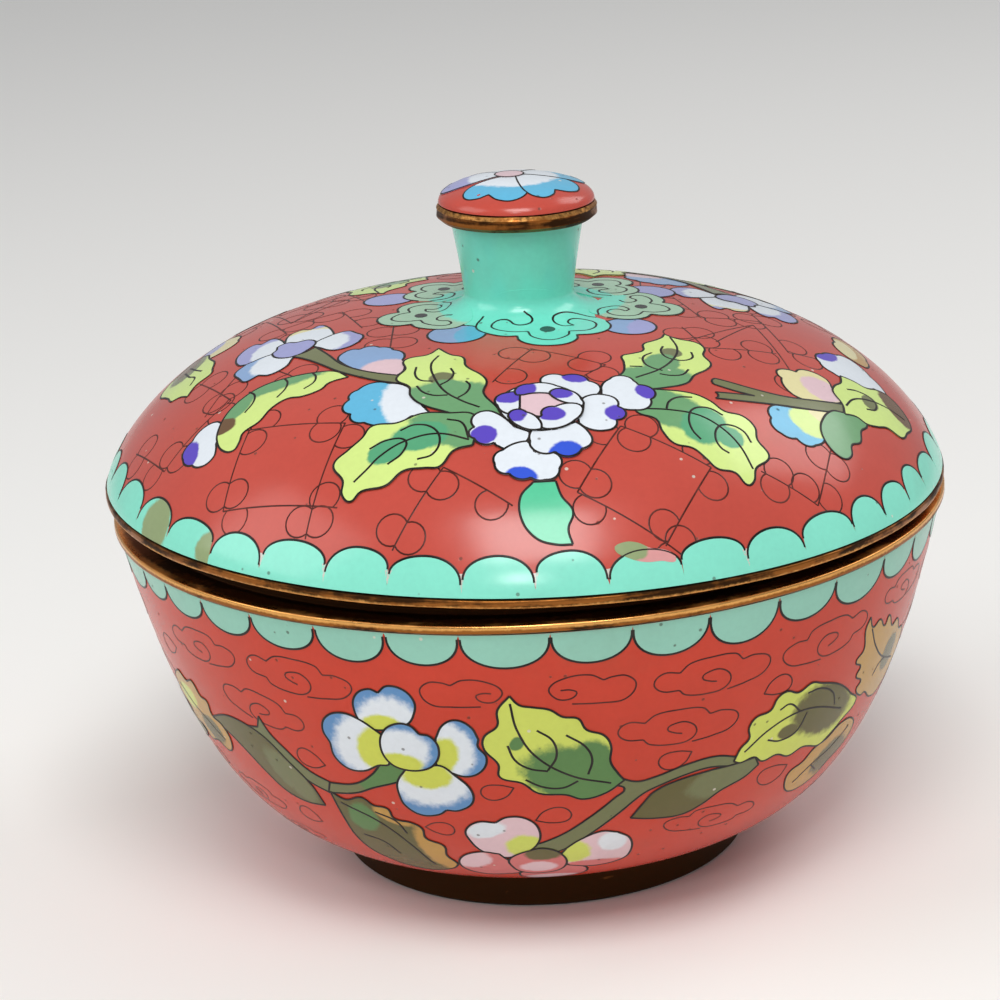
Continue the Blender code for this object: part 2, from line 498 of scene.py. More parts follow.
def moved(cell, dx=0.0, dy=0.0, turn=0.0, size=1.0, flip=False, enamel=None):
    """A copy of a cell in another place."""
    patches = []
    for color, x, y, wide, high, patch_turn in cell.patches:
        (place,) = moved_points([(x, y)], dx, dy, turn, size, flip)
        patches.append((color, *place, wide * size, high * size, turn + patch_turn * (-1 if flip else 1)))
    veins = [moved_points(vein, dx, dy, turn, size, flip) for vein in cell.veins]
    return Cell(moved_points(cell.points, dx, dy, turn, size, flip), enamel or cell.enamel, patches,
                veins, cell.wired, cell.group)


def stacked(cells):
    """Gives each cell a level above the earlier cells that it overlaps."""
    for index, cell in enumerate(cells):
        below = [other.level for other in cells[:index] if cell.meets(other)]
        cell.level = max(below) + 1 if below else 0
    return cells


def crossing(outside, hidden, covers):
    """Where a line that runs from outside to hidden goes under one of the covers."""
    for _ in range(8):
        middle = ((outside[0] + hidden[0]) / 2, (outside[1] + hidden[1]) / 2)
        if any(cover.covers(middle) for cover in covers):
            hidden = middle
        else:
            outside = middle
    return hidden


def showing(run, covers):
    """The parts of a run that no cover hides."""
    if not covers:
        return [run]
    parts, part, before, hidden_before = [], [], None, False
    for point in run:
        hidden = any(cover.covers(point) for cover in covers)
        if before is not None and hidden != hidden_before:
            edge = crossing(point, before, covers) if hidden_before else crossing(before, point, covers)
            part.append(edge)
        if hidden and part:
            parts.append(part)
            part = []
        elif not hidden:
            part.append(point)
        before, hidden_before = point, hidden
    if part:
        parts.append(part)
    return [part for part in parts if len(part) > 1 and math.dist(part[0],
                                                            part[-1]) + len(part) * 0.1 > 0.4]


def flat_cell(cell, lift, grid):
    """A bmesh of one cell, still flat: filled, cut across so that it can bend, and thickened."""
    shape = bmesh.new()
    shape.faces.new([shape.verts.new((x, y, 0.0)) for x, y in cell.outline])
    x0, y0, x1, y1 = cell.box
    for axis, low, high in ((0, x0, x1), (1, y0, y1)):
        normal = Vector((1, 0, 0)) if axis == 0 else Vector((0, 1, 0))
        for index in range(math.floor(low / grid) + 1, math.ceil(high / grid)):
            geometry = shape.verts[:] + shape.edges[:] + shape.faces[:]
            bmesh.ops.bisect_plane(shape, geom=geometry, dist=1e-5, plane_co=normal * index * grid,
                                   plane_no=normal)
    bmesh.ops.remove_doubles(shape, verts=shape.verts, dist=0.002)
    bmesh.ops.dissolve_degenerate(shape, dist=0.001, edges=shape.edges)
    bmesh.ops.triangulate(shape, faces=shape.faces)
    for face in shape.faces:
        if face.normal.z < 0:
            face.normal_flip()
    grown = bmesh.ops.extrude_face_region(shape, geom=shape.faces)
    for item in grown["geom"]:
        if isinstance(item, bmesh.types.BMVert):
            item.co.z = lift
    for vertex in shape.verts:
        if vertex.co.z == 0.0:
            vertex.co.z = -LEVEL
    bmesh.ops.recalc_face_normals(shape, faces=shape.faces)
    return shape


def paint_cell(shape, cell, enamel_index):
    """Writes the cell's colours and the places of its patches onto its corners."""
    tones = [shape.loops.layers.float_color.new(f"enamel_{index}") for index in range(PATCHES + 1)]
    maps = [shape.loops.layers.uv.new(f"patch_{index + 1}") for index in range(PATCHES)]
    for face in shape.faces:
        face.material_index = enamel_index
        for loop in face.loops:
            loop[tones[0]] = linear(cell.enamel)
            for index in range(PATCHES):
                if index >= len(cell.patches):
                    loop[tones[index + 1]] = linear(cell.enamel)
                    loop[maps[index]].uv = NO_PATCH
                    continue
                color, x, y, wide, high, turn = cell.patches[index]
                across = Vector((loop.vert.co.x - x, loop.vert.co.y - y))
                across.rotate(Matrix.Rotation(-math.radians(turn), 2))
                loop[tones[index + 1]] = linear(color)
                loop[maps[index]].uv = (across.x / wide, across.y / high)


def cells_piece(name, cells, skin, finish, grid=CELL_GRID):
    """One object with all of the given cells, bent onto the skin."""
    whole = bmesh.new()
    scratch = bpy.data.meshes.new(name + "_cell")
    for cell in cells:
        shape = flat_cell(cell, sizes().enamel_lift + cell.level * LEVEL, grid)
        paint_cell(shape, cell, 0)
        for vertex in shape.verts:
            vertex.co = skin.bend(vertex.co)
        bmesh.ops.recalc_face_normals(shape, faces=shape.faces)
        shape.to_mesh(scratch)
        shape.free()
        whole.from_mesh(scratch)
    bpy.data.meshes.remove(scratch)
    return settle(name, whole, [finish])


def wires_piece(name, runs, skin, width, base, finish):
    """One object with a flattened wire along every run, whose middle lies base above the ground.

    runs holds (points, level) pairs.
    """
    curve = bpy.data.curves.new(name, "CURVE")
    curve.dimensions = "3D"
    curve.twist_mode = "Z_UP"
    curve.bevel_depth = width / 2 / MM
    curve.bevel_resolution = 1
    curve.use_fill_caps = True
    for points, level in runs:
        spline = curve.splines.new("POLY")
        spline.points.add(len(points) - 1)
        for knot, (x, y) in zip(spline.points, points):
            knot.co = (x, y, level * SPREAD, 1.0)
    holder = bpy.data.objects.new(name + "_line", curve)
    bpy.context.scene.collection.objects.link(holder)
    bpy.context.view_layer.update()
    mesh = bpy.data.meshes.new_from_object(holder.evaluated_get(bpy.context.evaluated_depsgraph_get()))
    bpy.data.objects.remove(holder)
    bpy.data.curves.remove(curve)
    shape = bmesh.new()
    shape.from_mesh(mesh)
    bpy.data.meshes.remove(mesh)
    flatten = sizes().wire_lift / (width / 2 / MM)
    for vertex in shape.verts:
        level = round(vertex.co.z / SPREAD)
        lift = base + level * LEVEL + (vertex.co.z - level * SPREAD) * flatten
        vertex.co = skin.bend(Vector((vertex.co.x, vertex.co.y, lift)))
    bmesh.ops.remove_doubles(shape, verts=shape.verts, dist=1e-7)
    bmesh.ops.recalc_face_normals(shape, faces=shape.faces)
    return settle(name, shape, [finish])


def outline_runs(cells):
    """Outline and vein wires of the cells, cut where a later cell hides them."""
    runs = []
    for index, cell in enumerate(cells):
        over = [other for other in cells[index + 1:] if other.level > cell.level and cell.meets(other)]
        lines = list(cell.runs) if cell.wired else []
        for vein in cell.veins:
            lines += runs_of(vein, False)
        for line in lines:
            runs += [(part, cell.level) for part in showing(line, over)]
    return runs


def ground_runs(lines, cells):
    """Wires that lie in the ground, cut where a cell hides them."""
    runs = []
    for line in lines:
        xs, ys = [point[0] for point in line], [point[1] for point in line]
        near = [cell for cell in cells if cell.box[0] <= max(xs) and cell.box[2] >= min(xs)
                and cell.box[1] <= max(ys) and cell.box[3] >= min(ys)]
        runs += [(part, 0) for part in showing(line, near)]
    return runs


# =============================================================================================
# meshes
# =============================================================================================

def turned(profile):
    """A bmesh of a solid of revolution about Z. A profile that starts and ends on the axis is open."""
    on_axis = profile[0][0] == 0.0 and profile[-1][0] == 0.0
    shape = bmesh.new()
    points = [shape.verts.new((radius, 0.0, height)) for radius, height in profile]
    lines = [shape.edges.new(pair) for pair in zip(points, points[1:])]
    if not on_axis:
        lines.append(shape.edges.new((points[-1], points[0])))
    bmesh.ops.spin(shape, geom=points + lines, cent=(0, 0, 0), axis=(0, 0, 1), angle=2 * math.pi,
                   steps=sizes().round_steps, use_merge=True)
    bmesh.ops.remove_doubles(shape, verts=shape.verts, dist=1e-7)
    bmesh.ops.recalc_face_normals(shape, faces=shape.faces)
    return shape


def rounded(profile, radius, steps=3):
    """The closed profile with each corner replaced by a small arc."""
    result = []
    for before, corner, after in zip(profile[-1:] + profile[:-1], profile, profile[1:] + profile[:1]):
        corner, before, after = Vector(corner), Vector(before), Vector(after)
        back, on = before - corner, after - corner
        reach = min(radius, back.length * 0.45, on.length * 0.45)
        start, end = corner + back.normalized() * reach, corner + on.normalized() * reach
        for index in range(steps + 1):
            share = index / steps
            point = start * (1 - share) ** 2 + corner * 2 * share * (1 - share) + end * share ** 2
            result.append((point.x, point.y))
    return result


def uneven(shape, depth, size, seed):
    """Moves each point a little, as hand filing and hammering leave a surface."""
    for vertex in shape.verts:
        shift = noise.noise_vector(vertex.co / size + Vector((seed, seed, seed)))
        vertex.co += shift * depth


def settle(name, shape, finishes, replaces=None, matrix=None):
    """Makes the finished mesh an object of the bowl."""
    if matrix is not None:
        shape.transform(matrix)
    mesh = bpy.data.meshes.new(name)
    shape.to_mesh(mesh)
    shape.free()
    if not mesh.polygons:
        raise RuntimeError(f"{name} has no faces")
    mesh.shade_smooth()
    mesh.set_sharp_from_angle(angle=math.radians(40))
    for finish in finishes:
        mesh.materials.append(finish)
    piece = bpy.data.objects.new(name, mesh)
    bpy.context.scene.collection.objects.link(piece)
    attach(piece, "root")
    if replaces:
        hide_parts(replaces)
    return piece


# =============================================================================================
# shader groups and materials
# =============================================================================================

class Graph:
    """Short calls for building a node tree."""

    def __init__(self, tree):
        self.tree = tree

    def node(self, kind, **settings):
        made = self.tree.nodes.new("ShaderNode" + kind)
        for key, value in settings.items():
            setattr(made, key, value)
        return made

    def link(self, source, target):
        self.tree.links.new(source, target)

    def feed(self, node, **values):
        """Sets or links the inputs named in values; an underscore stands for a space."""
        for key, value in values.items():
            socket = node.inputs[key.replace("_", " ")]
            if isinstance(value, bpy.types.NodeSocket):
                self.link(value, socket)
            else:
                socket.default_value = value
        return node

    def math(self, operation, first, second=0.0, clamp=False):
        made = self.node("Math", operation=operation, use_clamp=clamp)
        for socket, value in zip(made.inputs, (first, second)):
            if isinstance(value, bpy.types.NodeSocket):
                self.link(value, socket)
            else:
                socket.default_value = value
        return made.outputs[0]

    def ramp(self, value, low, high, start=0.0, end=1.0):
        """Smooth step of a value from start at low to end at high."""
        made = self.node("MapRange", interpolation_type="SMOOTHSTEP")
        for socket, number in zip(made.inputs, (value, low, high, start, end)):
            if isinstance(number, bpy.types.NodeSocket):
                self.link(number, socket)
            else:
                socket.default_value = number
        return made.outputs["Result"]

    def mix(self, share, first, second, blend="MIX"):
        made = self.node("Mix", data_type="RGBA", blend_type=blend)
        factor, colour_a, colour_b = made.inputs[0], made.inputs[6], made.inputs[7]
        for socket, value in ((factor, share), (colour_a, first), (colour_b, second)):
            if isinstance(value, bpy.types.NodeSocket):
                self.link(value, socket)
            else:
                socket.default_value = value
        return made.outputs[2]

    def noise(self, where, scale, detail=3.0, roughness=0.55):
        made = self.node("TexNoise")
        return self.feed(made, Vector=where, Scale=scale, Detail=detail, Roughness=roughness).outputs["Fac"]


def new_group(name, inputs, outputs):
    """A shader node group with its sockets: the tree, its graph, its entry and its exit."""
    tree = bpy.data.node_groups.new(name, "ShaderNodeTree")
    for label, kind, value in inputs:
        socket = tree.interface.new_socket(label, in_out="INPUT", socket_type="NodeSocket" + kind)
        socket.default_value = value
    for label, kind in outputs:
        tree.interface.new_socket(label, in_out="OUTPUT", socket_type="NodeSocket" + kind)
    return tree, Graph(tree), tree.nodes.new("NodeGroupInput"), tree.nodes.new("NodeGroupOutput")


def patch_group():
    """Mask of a second colour inside a cell, with the ragged edge that fused enamel has."""
    tree, graph, entry, leave = new_group(
        "enamel_patch", [("Where", "Vector", (9, 9, 0)), ("Softness", "Float", 0.12),
                         ("Ragged", "Float", 0.3)],
        [("Mask", "Float")])
    place = graph.node("TexCoord").outputs["Object"]
    length = graph.node("VectorMath", operation="LENGTH")
    graph.link(entry.outputs["Where"], length.inputs[0])
    edge = graph.math("SUBTRACT", graph.noise(place, 620.0, 3.0, 0.6), 0.5)
    reach = graph.math("ADD", length.outputs["Value"],
                       graph.math("MULTIPLY", edge, entry.outputs["Ragged"]))
    low = graph.math("SUBTRACT", 1.0, entry.outputs["Softness"])
    high = graph.math("ADD", 1.0, entry.outputs["Softness"])
    graph.link(graph.ramp(reach, low, high, 1.0, 0.0), leave.inputs["Mask"])
    return tree


def glaze_group():
    """Cloudy colour, fine pits, dirt and polish of fired enamel."""
    tree, graph, entry, leave = new_group(
        "enamel_glaze", [("Color", "Color", (1, 1, 1, 1)), ("Cloud", "Float", 0.12), ("Pits", "Float", 1.0),
                         ("Polish", "Float", 0.2)],
        [("Color", "Color"), ("Roughness", "Float"), ("Height", "Float")])
    place = graph.node("TexCoord").outputs["Object"]
    clouds = graph.noise(place, 55.0, 4.0, 0.6)
    grains = graph.noise(place, 900.0, 2.0, 0.6)
    dirt = graph.noise(place, 24.0, 5.0, 0.65)
    value = graph.math("ADD", 1.0, graph.math("MULTIPLY", graph.math("SUBTRACT", clouds, 0.5),
                                              graph.math("MULTIPLY", entry.outputs["Cloud"], 2.0)))
    value = graph.math("ADD", value, graph.math("MULTIPLY", graph.math("SUBTRACT", grains, 0.5), 0.10))
    tint = graph.feed(graph.node("HueSaturation"), Color=entry.outputs["Color"],
                      Value=value).outputs["Color"]
    spots = graph.node("TexVoronoi", feature="F1")
    graph.feed(spots, Vector=place, Scale=420.0, Randomness=1.0)
    chance = graph.node("SeparateColor")
    graph.link(spots.outputs["Color"], chance.inputs["Color"])
    small = graph.ramp(spots.outputs["Distance"], 0.10, 0.17, 1.0, 0.0)
    dark = graph.math("MULTIPLY", small, graph.math("GREATER_THAN", chance.outputs["Red"], 0.86))
    pale = graph.math("MULTIPLY", small, graph.math("GREATER_THAN", chance.outputs["Green"], 0.978))
    dark = graph.math("MULTIPLY", dark, entry.outputs["Pits"])
    pale = graph.math("MULTIPLY", pale, entry.outputs["Pits"])
    grime = graph.math("MULTIPLY", graph.ramp(dirt, 0.56, 0.78), 0.16)
    tint = graph.mix(grime, tint, (0.16, 0.12, 0.05, 1.0))
    tint = graph.mix(graph.math("MULTIPLY", dark, 0.62), tint, (0.045, 0.03, 0.015, 1.0))
    tint = graph.mix(graph.math("MULTIPLY", pale, 0.7), tint, (0.72, 0.66, 0.55, 1.0))
    graph.link(tint, leave.inputs["Color"])
    rough = graph.math("ADD", entry.outputs["Polish"], graph.math("MULTIPLY", clouds, 0.10))
    rough = graph.math("ADD", rough, graph.math("MULTIPLY", dark, 0.4), True)
    graph.link(rough, leave.inputs["Roughness"])
    swell = graph.noise(place, 260.0, 2.0, 0.5)
    height = graph.math("SUBTRACT", graph.math("MULTIPLY", swell, 0.35), graph.math("ADD", dark, pale))
    graph.link(height, leave.inputs["Height"])
    return tree


def patina_group():
    """Rubbed, brown and tarnished metal by uneven wear. A Wear below zero blackens it, as painted shade."""
    tree, graph, entry, leave = new_group(
        "metal_patina", [("Bright", "Color", (1, 1, 1, 1)), ("Brown", "Color", (1, 1, 1, 1)),
                         ("Dark", "Color", (0, 0, 0, 1)), ("Wear", "Float", 0.0),
                         ("Tarnish", "Float", 0.5)],
        [("Color", "Color"), ("Roughness", "Float"), ("Height", "Float")])
    place = graph.node("TexCoord").outputs["Object"]
    broad = graph.noise(place, 90.0, 5.0, 0.65)
    streaks = graph.node("Mapping")
    graph.feed(streaks, Vector=place, Scale=(60.0, 60.0, 900.0))
    lines = graph.noise(streaks.outputs["Vector"], 1.0, 4.0, 0.6)
    grains = graph.noise(place, 1100.0, 3.0, 0.6)
    worn = graph.math("ADD", entry.outputs["Wear"],
                      graph.math("MULTIPLY", graph.math("SUBTRACT", grains, 0.5), 0.5))
    worn = graph.math("ADD", worn, graph.math("MULTIPLY", graph.math("SUBTRACT", broad, 0.5), 0.6))
    worn = graph.ramp(worn, 0.35, 0.75)
    black = graph.math("ADD", broad, graph.math("MULTIPLY", graph.math("SUBTRACT", lines, 0.5), 0.8))
    black = graph.ramp(black, graph.math("SUBTRACT", 1.0, entry.outputs["Tarnish"]),
                       graph.math("SUBTRACT", 1.2, entry.outputs["Tarnish"]))
    # A Wear below zero blackens the metal: painted shade on the foot and in the gap under the lid.
    black = graph.math("ADD", black, graph.ramp(entry.outputs["Wear"], -0.5, 0.0, 1.0, 0.0), True)
    tint = graph.mix(graph.math("MULTIPLY", black, 0.9), entry.outputs["Brown"], entry.outputs["Dark"])
    tint = graph.mix(worn, tint, entry.outputs["Bright"])
    graph.link(tint, leave.inputs["Color"])
    rough = graph.math("ADD", 0.34, graph.math("MULTIPLY", black, 0.25))
    rough = graph.math("SUBTRACT", rough, graph.math("MULTIPLY", worn, 0.08))
    graph.link(rough, leave.inputs["Roughness"])
    graph.link(graph.math("ADD", grains, lines), leave.inputs["Height"])
    return tree


_made_groups = {}


def shared(builder):
    """The shader group that builder makes, made once."""
    if builder not in _made_groups:
        _made_groups[builder] = builder()
    return _made_groups[builder]


def new_material(name, preview):
    """A material with an empty Principled shader: the material, its graph and the shader."""
    made = bpy.data.materials.new(name)
    made.use_nodes = True
    made.diffuse_color = linear(preview)
    graph = Graph(made.node_tree)
    shader = made.node_tree.nodes["Principled BSDF"]
    shader.inputs["Base Color"].default_value = linear(preview)
    return made, graph, shader


def bumped(graph, shader, height, distance):
    bump = graph.node("Bump")
    graph.feed(bump, Height=height, Distance=distance, Strength=1.0)
    graph.link(bump.outputs["Normal"], shader.inputs["Normal"])


def glazed(graph, shader, color, cloud=0.10, pits=1.0, polish=0.16, shine=0.5):
    """Feeds a colour through the glaze to the shader."""
    glaze = graph.node("Group", node_tree=shared(glaze_group))
    graph.feed(glaze, Color=color, Cloud=cloud, Pits=pits, Polish=polish)
    graph.link(glaze.outputs["Color"], shader.inputs["Base Color"])
    graph.link(glaze.outputs["Roughness"], shader.inputs["Roughness"])
    shader.inputs["IOR"].default_value = 1.5
    shader.inputs["Specular IOR Level"].default_value = shine
    bumped(graph, shader, glaze.outputs["Height"], 0.00004)


def enamel(name, color, cloud=0.10, pits=1.0, polish=0.16, shine=0.5):
    """Plain enamel of one colour."""
    made, graph, shader = new_material(name, color)
    glazed(graph, shader, linear(color), cloud, pits, polish, shine)
    return made


def cell_enamel(name, preview, softness=0.1, ragged=0.3, cloud=0.07, polish=0.14, shine=0.5):
    """Enamel whose colours and patches are written on the corners of its cells."""
    made, graph, shader = new_material(name, preview)
    tint = graph.node("Attribute", attribute_name="enamel_0").outputs["Color"]
    for index in range(1, PATCHES + 1):
        patch = graph.node("Group", node_tree=shared(patch_group))
        graph.feed(patch, Where=graph.node("UVMap", uv_map=f"patch_{index}").outputs["UV"],
                   Softness=softness,
                   Ragged=ragged)
        second = graph.node("Attribute", attribute_name=f"enamel_{index}").outputs["Color"]
        tint = graph.mix(patch.outputs["Mask"], tint, second)
    glazed(graph, shader, tint, cloud, 1.0, polish, shine)
    return made


def metal(name, wear_and_painted_light=0.2, tarnish=0.5, bright="bright_brass", brown="brown_brass", attribute=None):
    """Patinated brass. An attribute on the mesh may say where it is rubbed bright or lit as a painted
    highlight, and where it is blackened as painted shade.
    """
    made, graph, shader = new_material(name, brown)
    shader.inputs["Metallic"].default_value = 1.0
    patina = graph.node("Group", node_tree=shared(patina_group))
    if attribute:
        wear_and_painted_light = graph.node("Attribute", attribute_name=attribute).outputs["Fac"]
    graph.feed(patina, Bright=linear(bright), Brown=linear(brown), Dark=linear("dark_brass"), Wear=wear_and_painted_light,
               Tarnish=tarnish)
    graph.link(patina.outputs["Color"], shader.inputs["Base Color"])
    graph.link(patina.outputs["Roughness"], shader.inputs["Roughness"])
    bumped(graph, shader, patina.outputs["Height"], 0.00003)
    return made


def wire_metal(name, color):
    """Dark oxidised wire, polished level with the enamel."""
    made, graph, shader = new_material(name, color)
    place = graph.node("TexCoord").outputs["Object"]
    share = graph.ramp(graph.noise(place, 160.0, 3.0), 0.35, 0.75)
    bright = tuple(min(1.0, value * 2.2 + 0.01) for value in linear(color)[:3]) + (1.0,)
    graph.link(graph.mix(share, linear(color), bright), shader.inputs["Base Color"])
    graph.link(graph.ramp(share, 0.0, 1.0, 0.30, 0.45), shader.inputs["Roughness"])
    shader.inputs["Specular IOR Level"].default_value = 0.2
    return made


FINISHES = {
    "lid_ground": lambda: enamel("lid_ground_enamel", "lid_brick", 0.12, 1.0, 0.16),
    "bowl_ground": lambda: enamel("bowl_ground_enamel", "bowl_brick", 0.12, 1.0, 0.2, 0.3),
    "neck": lambda: enamel("neck_enamel", "neck_turquoise", 0.14, 1.0, 0.12),
    "lining": lambda: enamel("lining_enamel", "lining", 0.14, 1.2, 0.2),
    "cells": lambda: cell_enamel("cell_enamel", "white"),
    "bowl_cells": lambda: cell_enamel("bowl_cell_enamel", "bowl_leaf", 0.16, 0.36, 0.08, 0.18, 0.3),
    "black": lambda: enamel("black_dot_enamel", "black", 0.1, 0.5, 0.2),
    "wire": lambda: wire_metal("outline_wire", "wire"),
    "fine_wire": lambda: wire_metal("ground_wire", "fine_wire"),
    "rim_brass": lambda: metal("rim_brass", tarnish=0.52, attribute="wear_and_painted_light"),
    "lid_brass": lambda: metal("lid_brass", tarnish=0.60, attribute="wear_and_painted_light"),
    "knob_brass": lambda: metal("knob_brass", tarnish=0.62, attribute="wear_and_painted_light"),
    # The foot's brass is blackened as painted shade, for the shadow under the bowl.
    "foot_brass_painted_shade": lambda: metal("foot_brass_painted_shade", wear_and_painted_light=-0.3, tarnish=0.75),
}
_made_finishes = {}


def finish(name):
    """The named finish, made once."""
    if name not in _made_finishes:
        _made_finishes[name] = FINISHES[name]()
    return _made_finishes[name]


# =============================================================================================
# drawings of the lid
# =============================================================================================

# Angles round the lid, in degrees from the front, where two scallops meet. The rest are even.
LID_CUSPS = (-80.3, -72.4, -63.4, -54.3, -44.8, -36.0, -26.4, -17.8, -8.4, 0.65, 9.8, 19.3, 28.3, 37.3,
             46.6, 53.8, 60.9, 67.6, 75.6, 84.0)
LID_BACK_SCALLOPS = 22
SCALLOP_TOP = 83.2                  # arc length from the crown to the top of a scallop
SCALLOP_FOOT = 90.7                 # and to the brass
SCALLOP_CUSP = 87.2                 # and to where the wires of two scallops meet
SCALLOP_JOIN = 89.2                 # and to where the turquoise of two scallops is one


def lid_point(degrees, arc):
    return (arc * math.sin(math.radians(degrees)), arc * math.cos(math.radians(degrees)))


def lid_scallops():
    """Upright turquoise scallops round the edge of the lid, and the wires on their tops."""
    draw = random.Random(5)
    cusps = list(LID_CUSPS)
    step = (360 - LID_CUSPS[-1] + LID_CUSPS[0]) / LID_BACK_SCALLOPS
    cusps += [LID_CUSPS[-1] + step * (index + draw.uniform(-0.15, 0.15)) for index in range(1,
                                                            LID_BACK_SCALLOPS)]
    cusps.append(LID_CUSPS[0] + 360)
    cells, runs = [], []
    for left, right in zip(cusps, cusps[1:]):
        middle, half = (left + right) / 2, (right - left) / 2
        top = SCALLOP_TOP + draw.uniform(-0.5, 0.7)
        gap = draw.uniform(0.15, 0.45)
        crest, rim = [], []
        foot_left, foot_right = (SCALLOP_CUSP + draw.uniform(-1.0, 1.6) for _ in range(2))
        for index in range(25):
            turn = math.pi * index / 24
            across = -math.cos(turn) * (half - gap / 2)
            foot = foot_left if index < 12 else foot_right
            rise = math.sin(turn) ** 0.92
            crest.append(lid_point(middle + across, foot + (top - foot) * rise))
        for index in range(9):
            rim.append(lid_point(right - (right - left) * index / 8, SCALLOP_FOOT))
        patches = []
        if left == LID_CUSPS[3]:
            patches.append(("stain", *lid_point(right, 88.0), 4.5, 3.4, 30))
        elif left == LID_CUSPS[2]:
            patches.append(("stain", *lid_point(middle + 1, 88.0), 5.0, 5.5, 30))
        points = [(*crest[0], 0)] + crest[1:-1] + [(*crest[-1], 0), (*lid_point(right, SCALLOP_JOIN), 0)]
        points += [(*rim[0], 0)] + rim[1:-1] + [(*rim[-1], 0), (*lid_point(left, SCALLOP_JOIN), 0)]
        cells.append(Cell(points, "lid_turquoise", patches, wired=False))
        runs.append(crest)
    return cells, runs


# Filler that has turned chalky in some of the cusps: angle and size in millimetres.
LID_CHALK = ((-26.4, 1.5), (-17.8, 1.2), (-8.4, 1.6), (0.65, 1.3), (9.8, 1.0), (28.3, 1.6), (-36.0, 1.1))


# Old repair on top of one scallop: pink filler, grey at its left end.
LID_REPAIR = [(15.8, 81.6), (17.4, 80.2), (20, 79.9), (22.6, 80.5), (25.2, 80.3), (27.2, 80.9), (27.4, 82),
              (24.8, 82.4), (21.8, 83.1), (18.6, 82.9)]


def lid_fillings():
    """The repair, and the chalky filler of the cusps."""
    repair = Cell(LID_REPAIR, "repair", [("stain", 18.4, 81, 3.6, 2.4, 0)], wired=False)
    repair.level = 1
    cells = [repair]
    for degrees, size in LID_CHALK:
        corners = [(*lid_point(degrees - 0.45, 86.4), -0.1), (*lid_point(degrees + 0.5, 86.3), -0.1),
                   (*lid_point(degrees + 0.1, 86.6 + size * 2), 0)]
        cells.append(Cell(corners, "chalk", wired=False))
    return cells


# ---- collar round the neck ----

# One head of the collar about its dot, y outwards from the neck, and its inner wire with two scrolls.
HEAD = [(-5.8, 3.5, 0), (-5.4, 6.4), (-3.2, 8.9), (0, 9.7), (3.0, 8.9), (5.0, 6.4), (5.2, 3.8, 0),
        (8.2, 3.4),
        (10.8, 1.4), (11.8, -1.5), (11.2, -4.8), (9.5, -7.2, 0), (8.8, -9.6), (3, -10.5), (-4, -10.5),
        (-9.6, -9.4), (-11.4, -6.9, 0), (-12.9, -4.6), (-12.8, -1.6), (-11.0, 1.2), (-8.4, 3.2)]
HEAD_WIRES = (
    [(5.0, -2.2), (4.0, -4.2), (5.2, -5.9), (7.6, -5.6), (9.2, -2.6), (7.6, 0.9), (3.9, 1.6, 0), (3.4, 4.2),
     (0.2, 6.6), (-2.9, 4.6), (-3.7, 1.0, 0), (-7.0, 0.6), (-10.1, -2.2), (-9.5, -4.4), (-7.2, -4.5),
     (-5.7, -2.7), (-3.5, -2.8), (-2.6, -4.4), (-4.1, -6.2)],
    [(5.0, -2.2), (3.0, -2.0), (1.2, -4.8), (2.8, -7.2), (6.0, -8.3), (9.6, -7.2)],
)
# Places of the five heads: dot, direction that the head points in (degrees from the front), size
# and whether it is mirrored.
HEADS = ((5.0, 16.5, 2, 1.0, False), (-18.6, 3.4, -76, 0.86, True), (23.0, 1.2, 72, 0.84, True),
         (-14.5, -17.5, -141, 0.84, False), (15.5, -17.0, 140, 0.84, True))
# Round lobes between the heads: x, y, radius and colours.
COLLAR_LOBES = ((-11.8, 17.3, 5.4, "steel", "sky"), (20.2, 14.6, 5.0, "steel", "lilac"),
                (-25.0, -12.0, 5.0, "lilac", "lilac"), (25.2, -12.0, 5.0, "lilac", "lilac"),
                (0.5, -24.5, 5.0, "steel", "sky"))


def round_outline(x, y, wide, high=None):
    """Points round an ellipse, for a smooth line."""
    high = high or wide
    return [(x + wide * math.sin(math.tau * k / 10),
             y - high * math.cos(math.tau * k / 10)) for k in range(10)]


def lid_collar():
    cells = []
    for x, y, radius, first, second in COLLAR_LOBES:
        cells.append(Cell(round_outline(x, y, radius), first, [(second, x + 3.4, y + 1, 3.8, 6.5, 8)]))
    for x, y, degrees, size, flip in HEADS:
        tone = "neck_turquoise" if size == 1.0 else "collar_green"
        patches = [("neck_turquoise", 0, -10, 12, 5.5, 0)]
        head = Cell(HEAD, tone, patches, [HEAD[16:] + HEAD[:11], *HEAD_WIRES], wired=False)
        cells.append(moved(head, x, y, -degrees, size, flip))
    return cells


def lid_dots():
    dots = []
    for x, y, _, size, _ in HEADS:
        dots.append(Cell(round_outline(x, y, 1.45 * size, 1.75 * size), "black", wired=False))
    return dots


# ---- flowers, leaves and stems ----

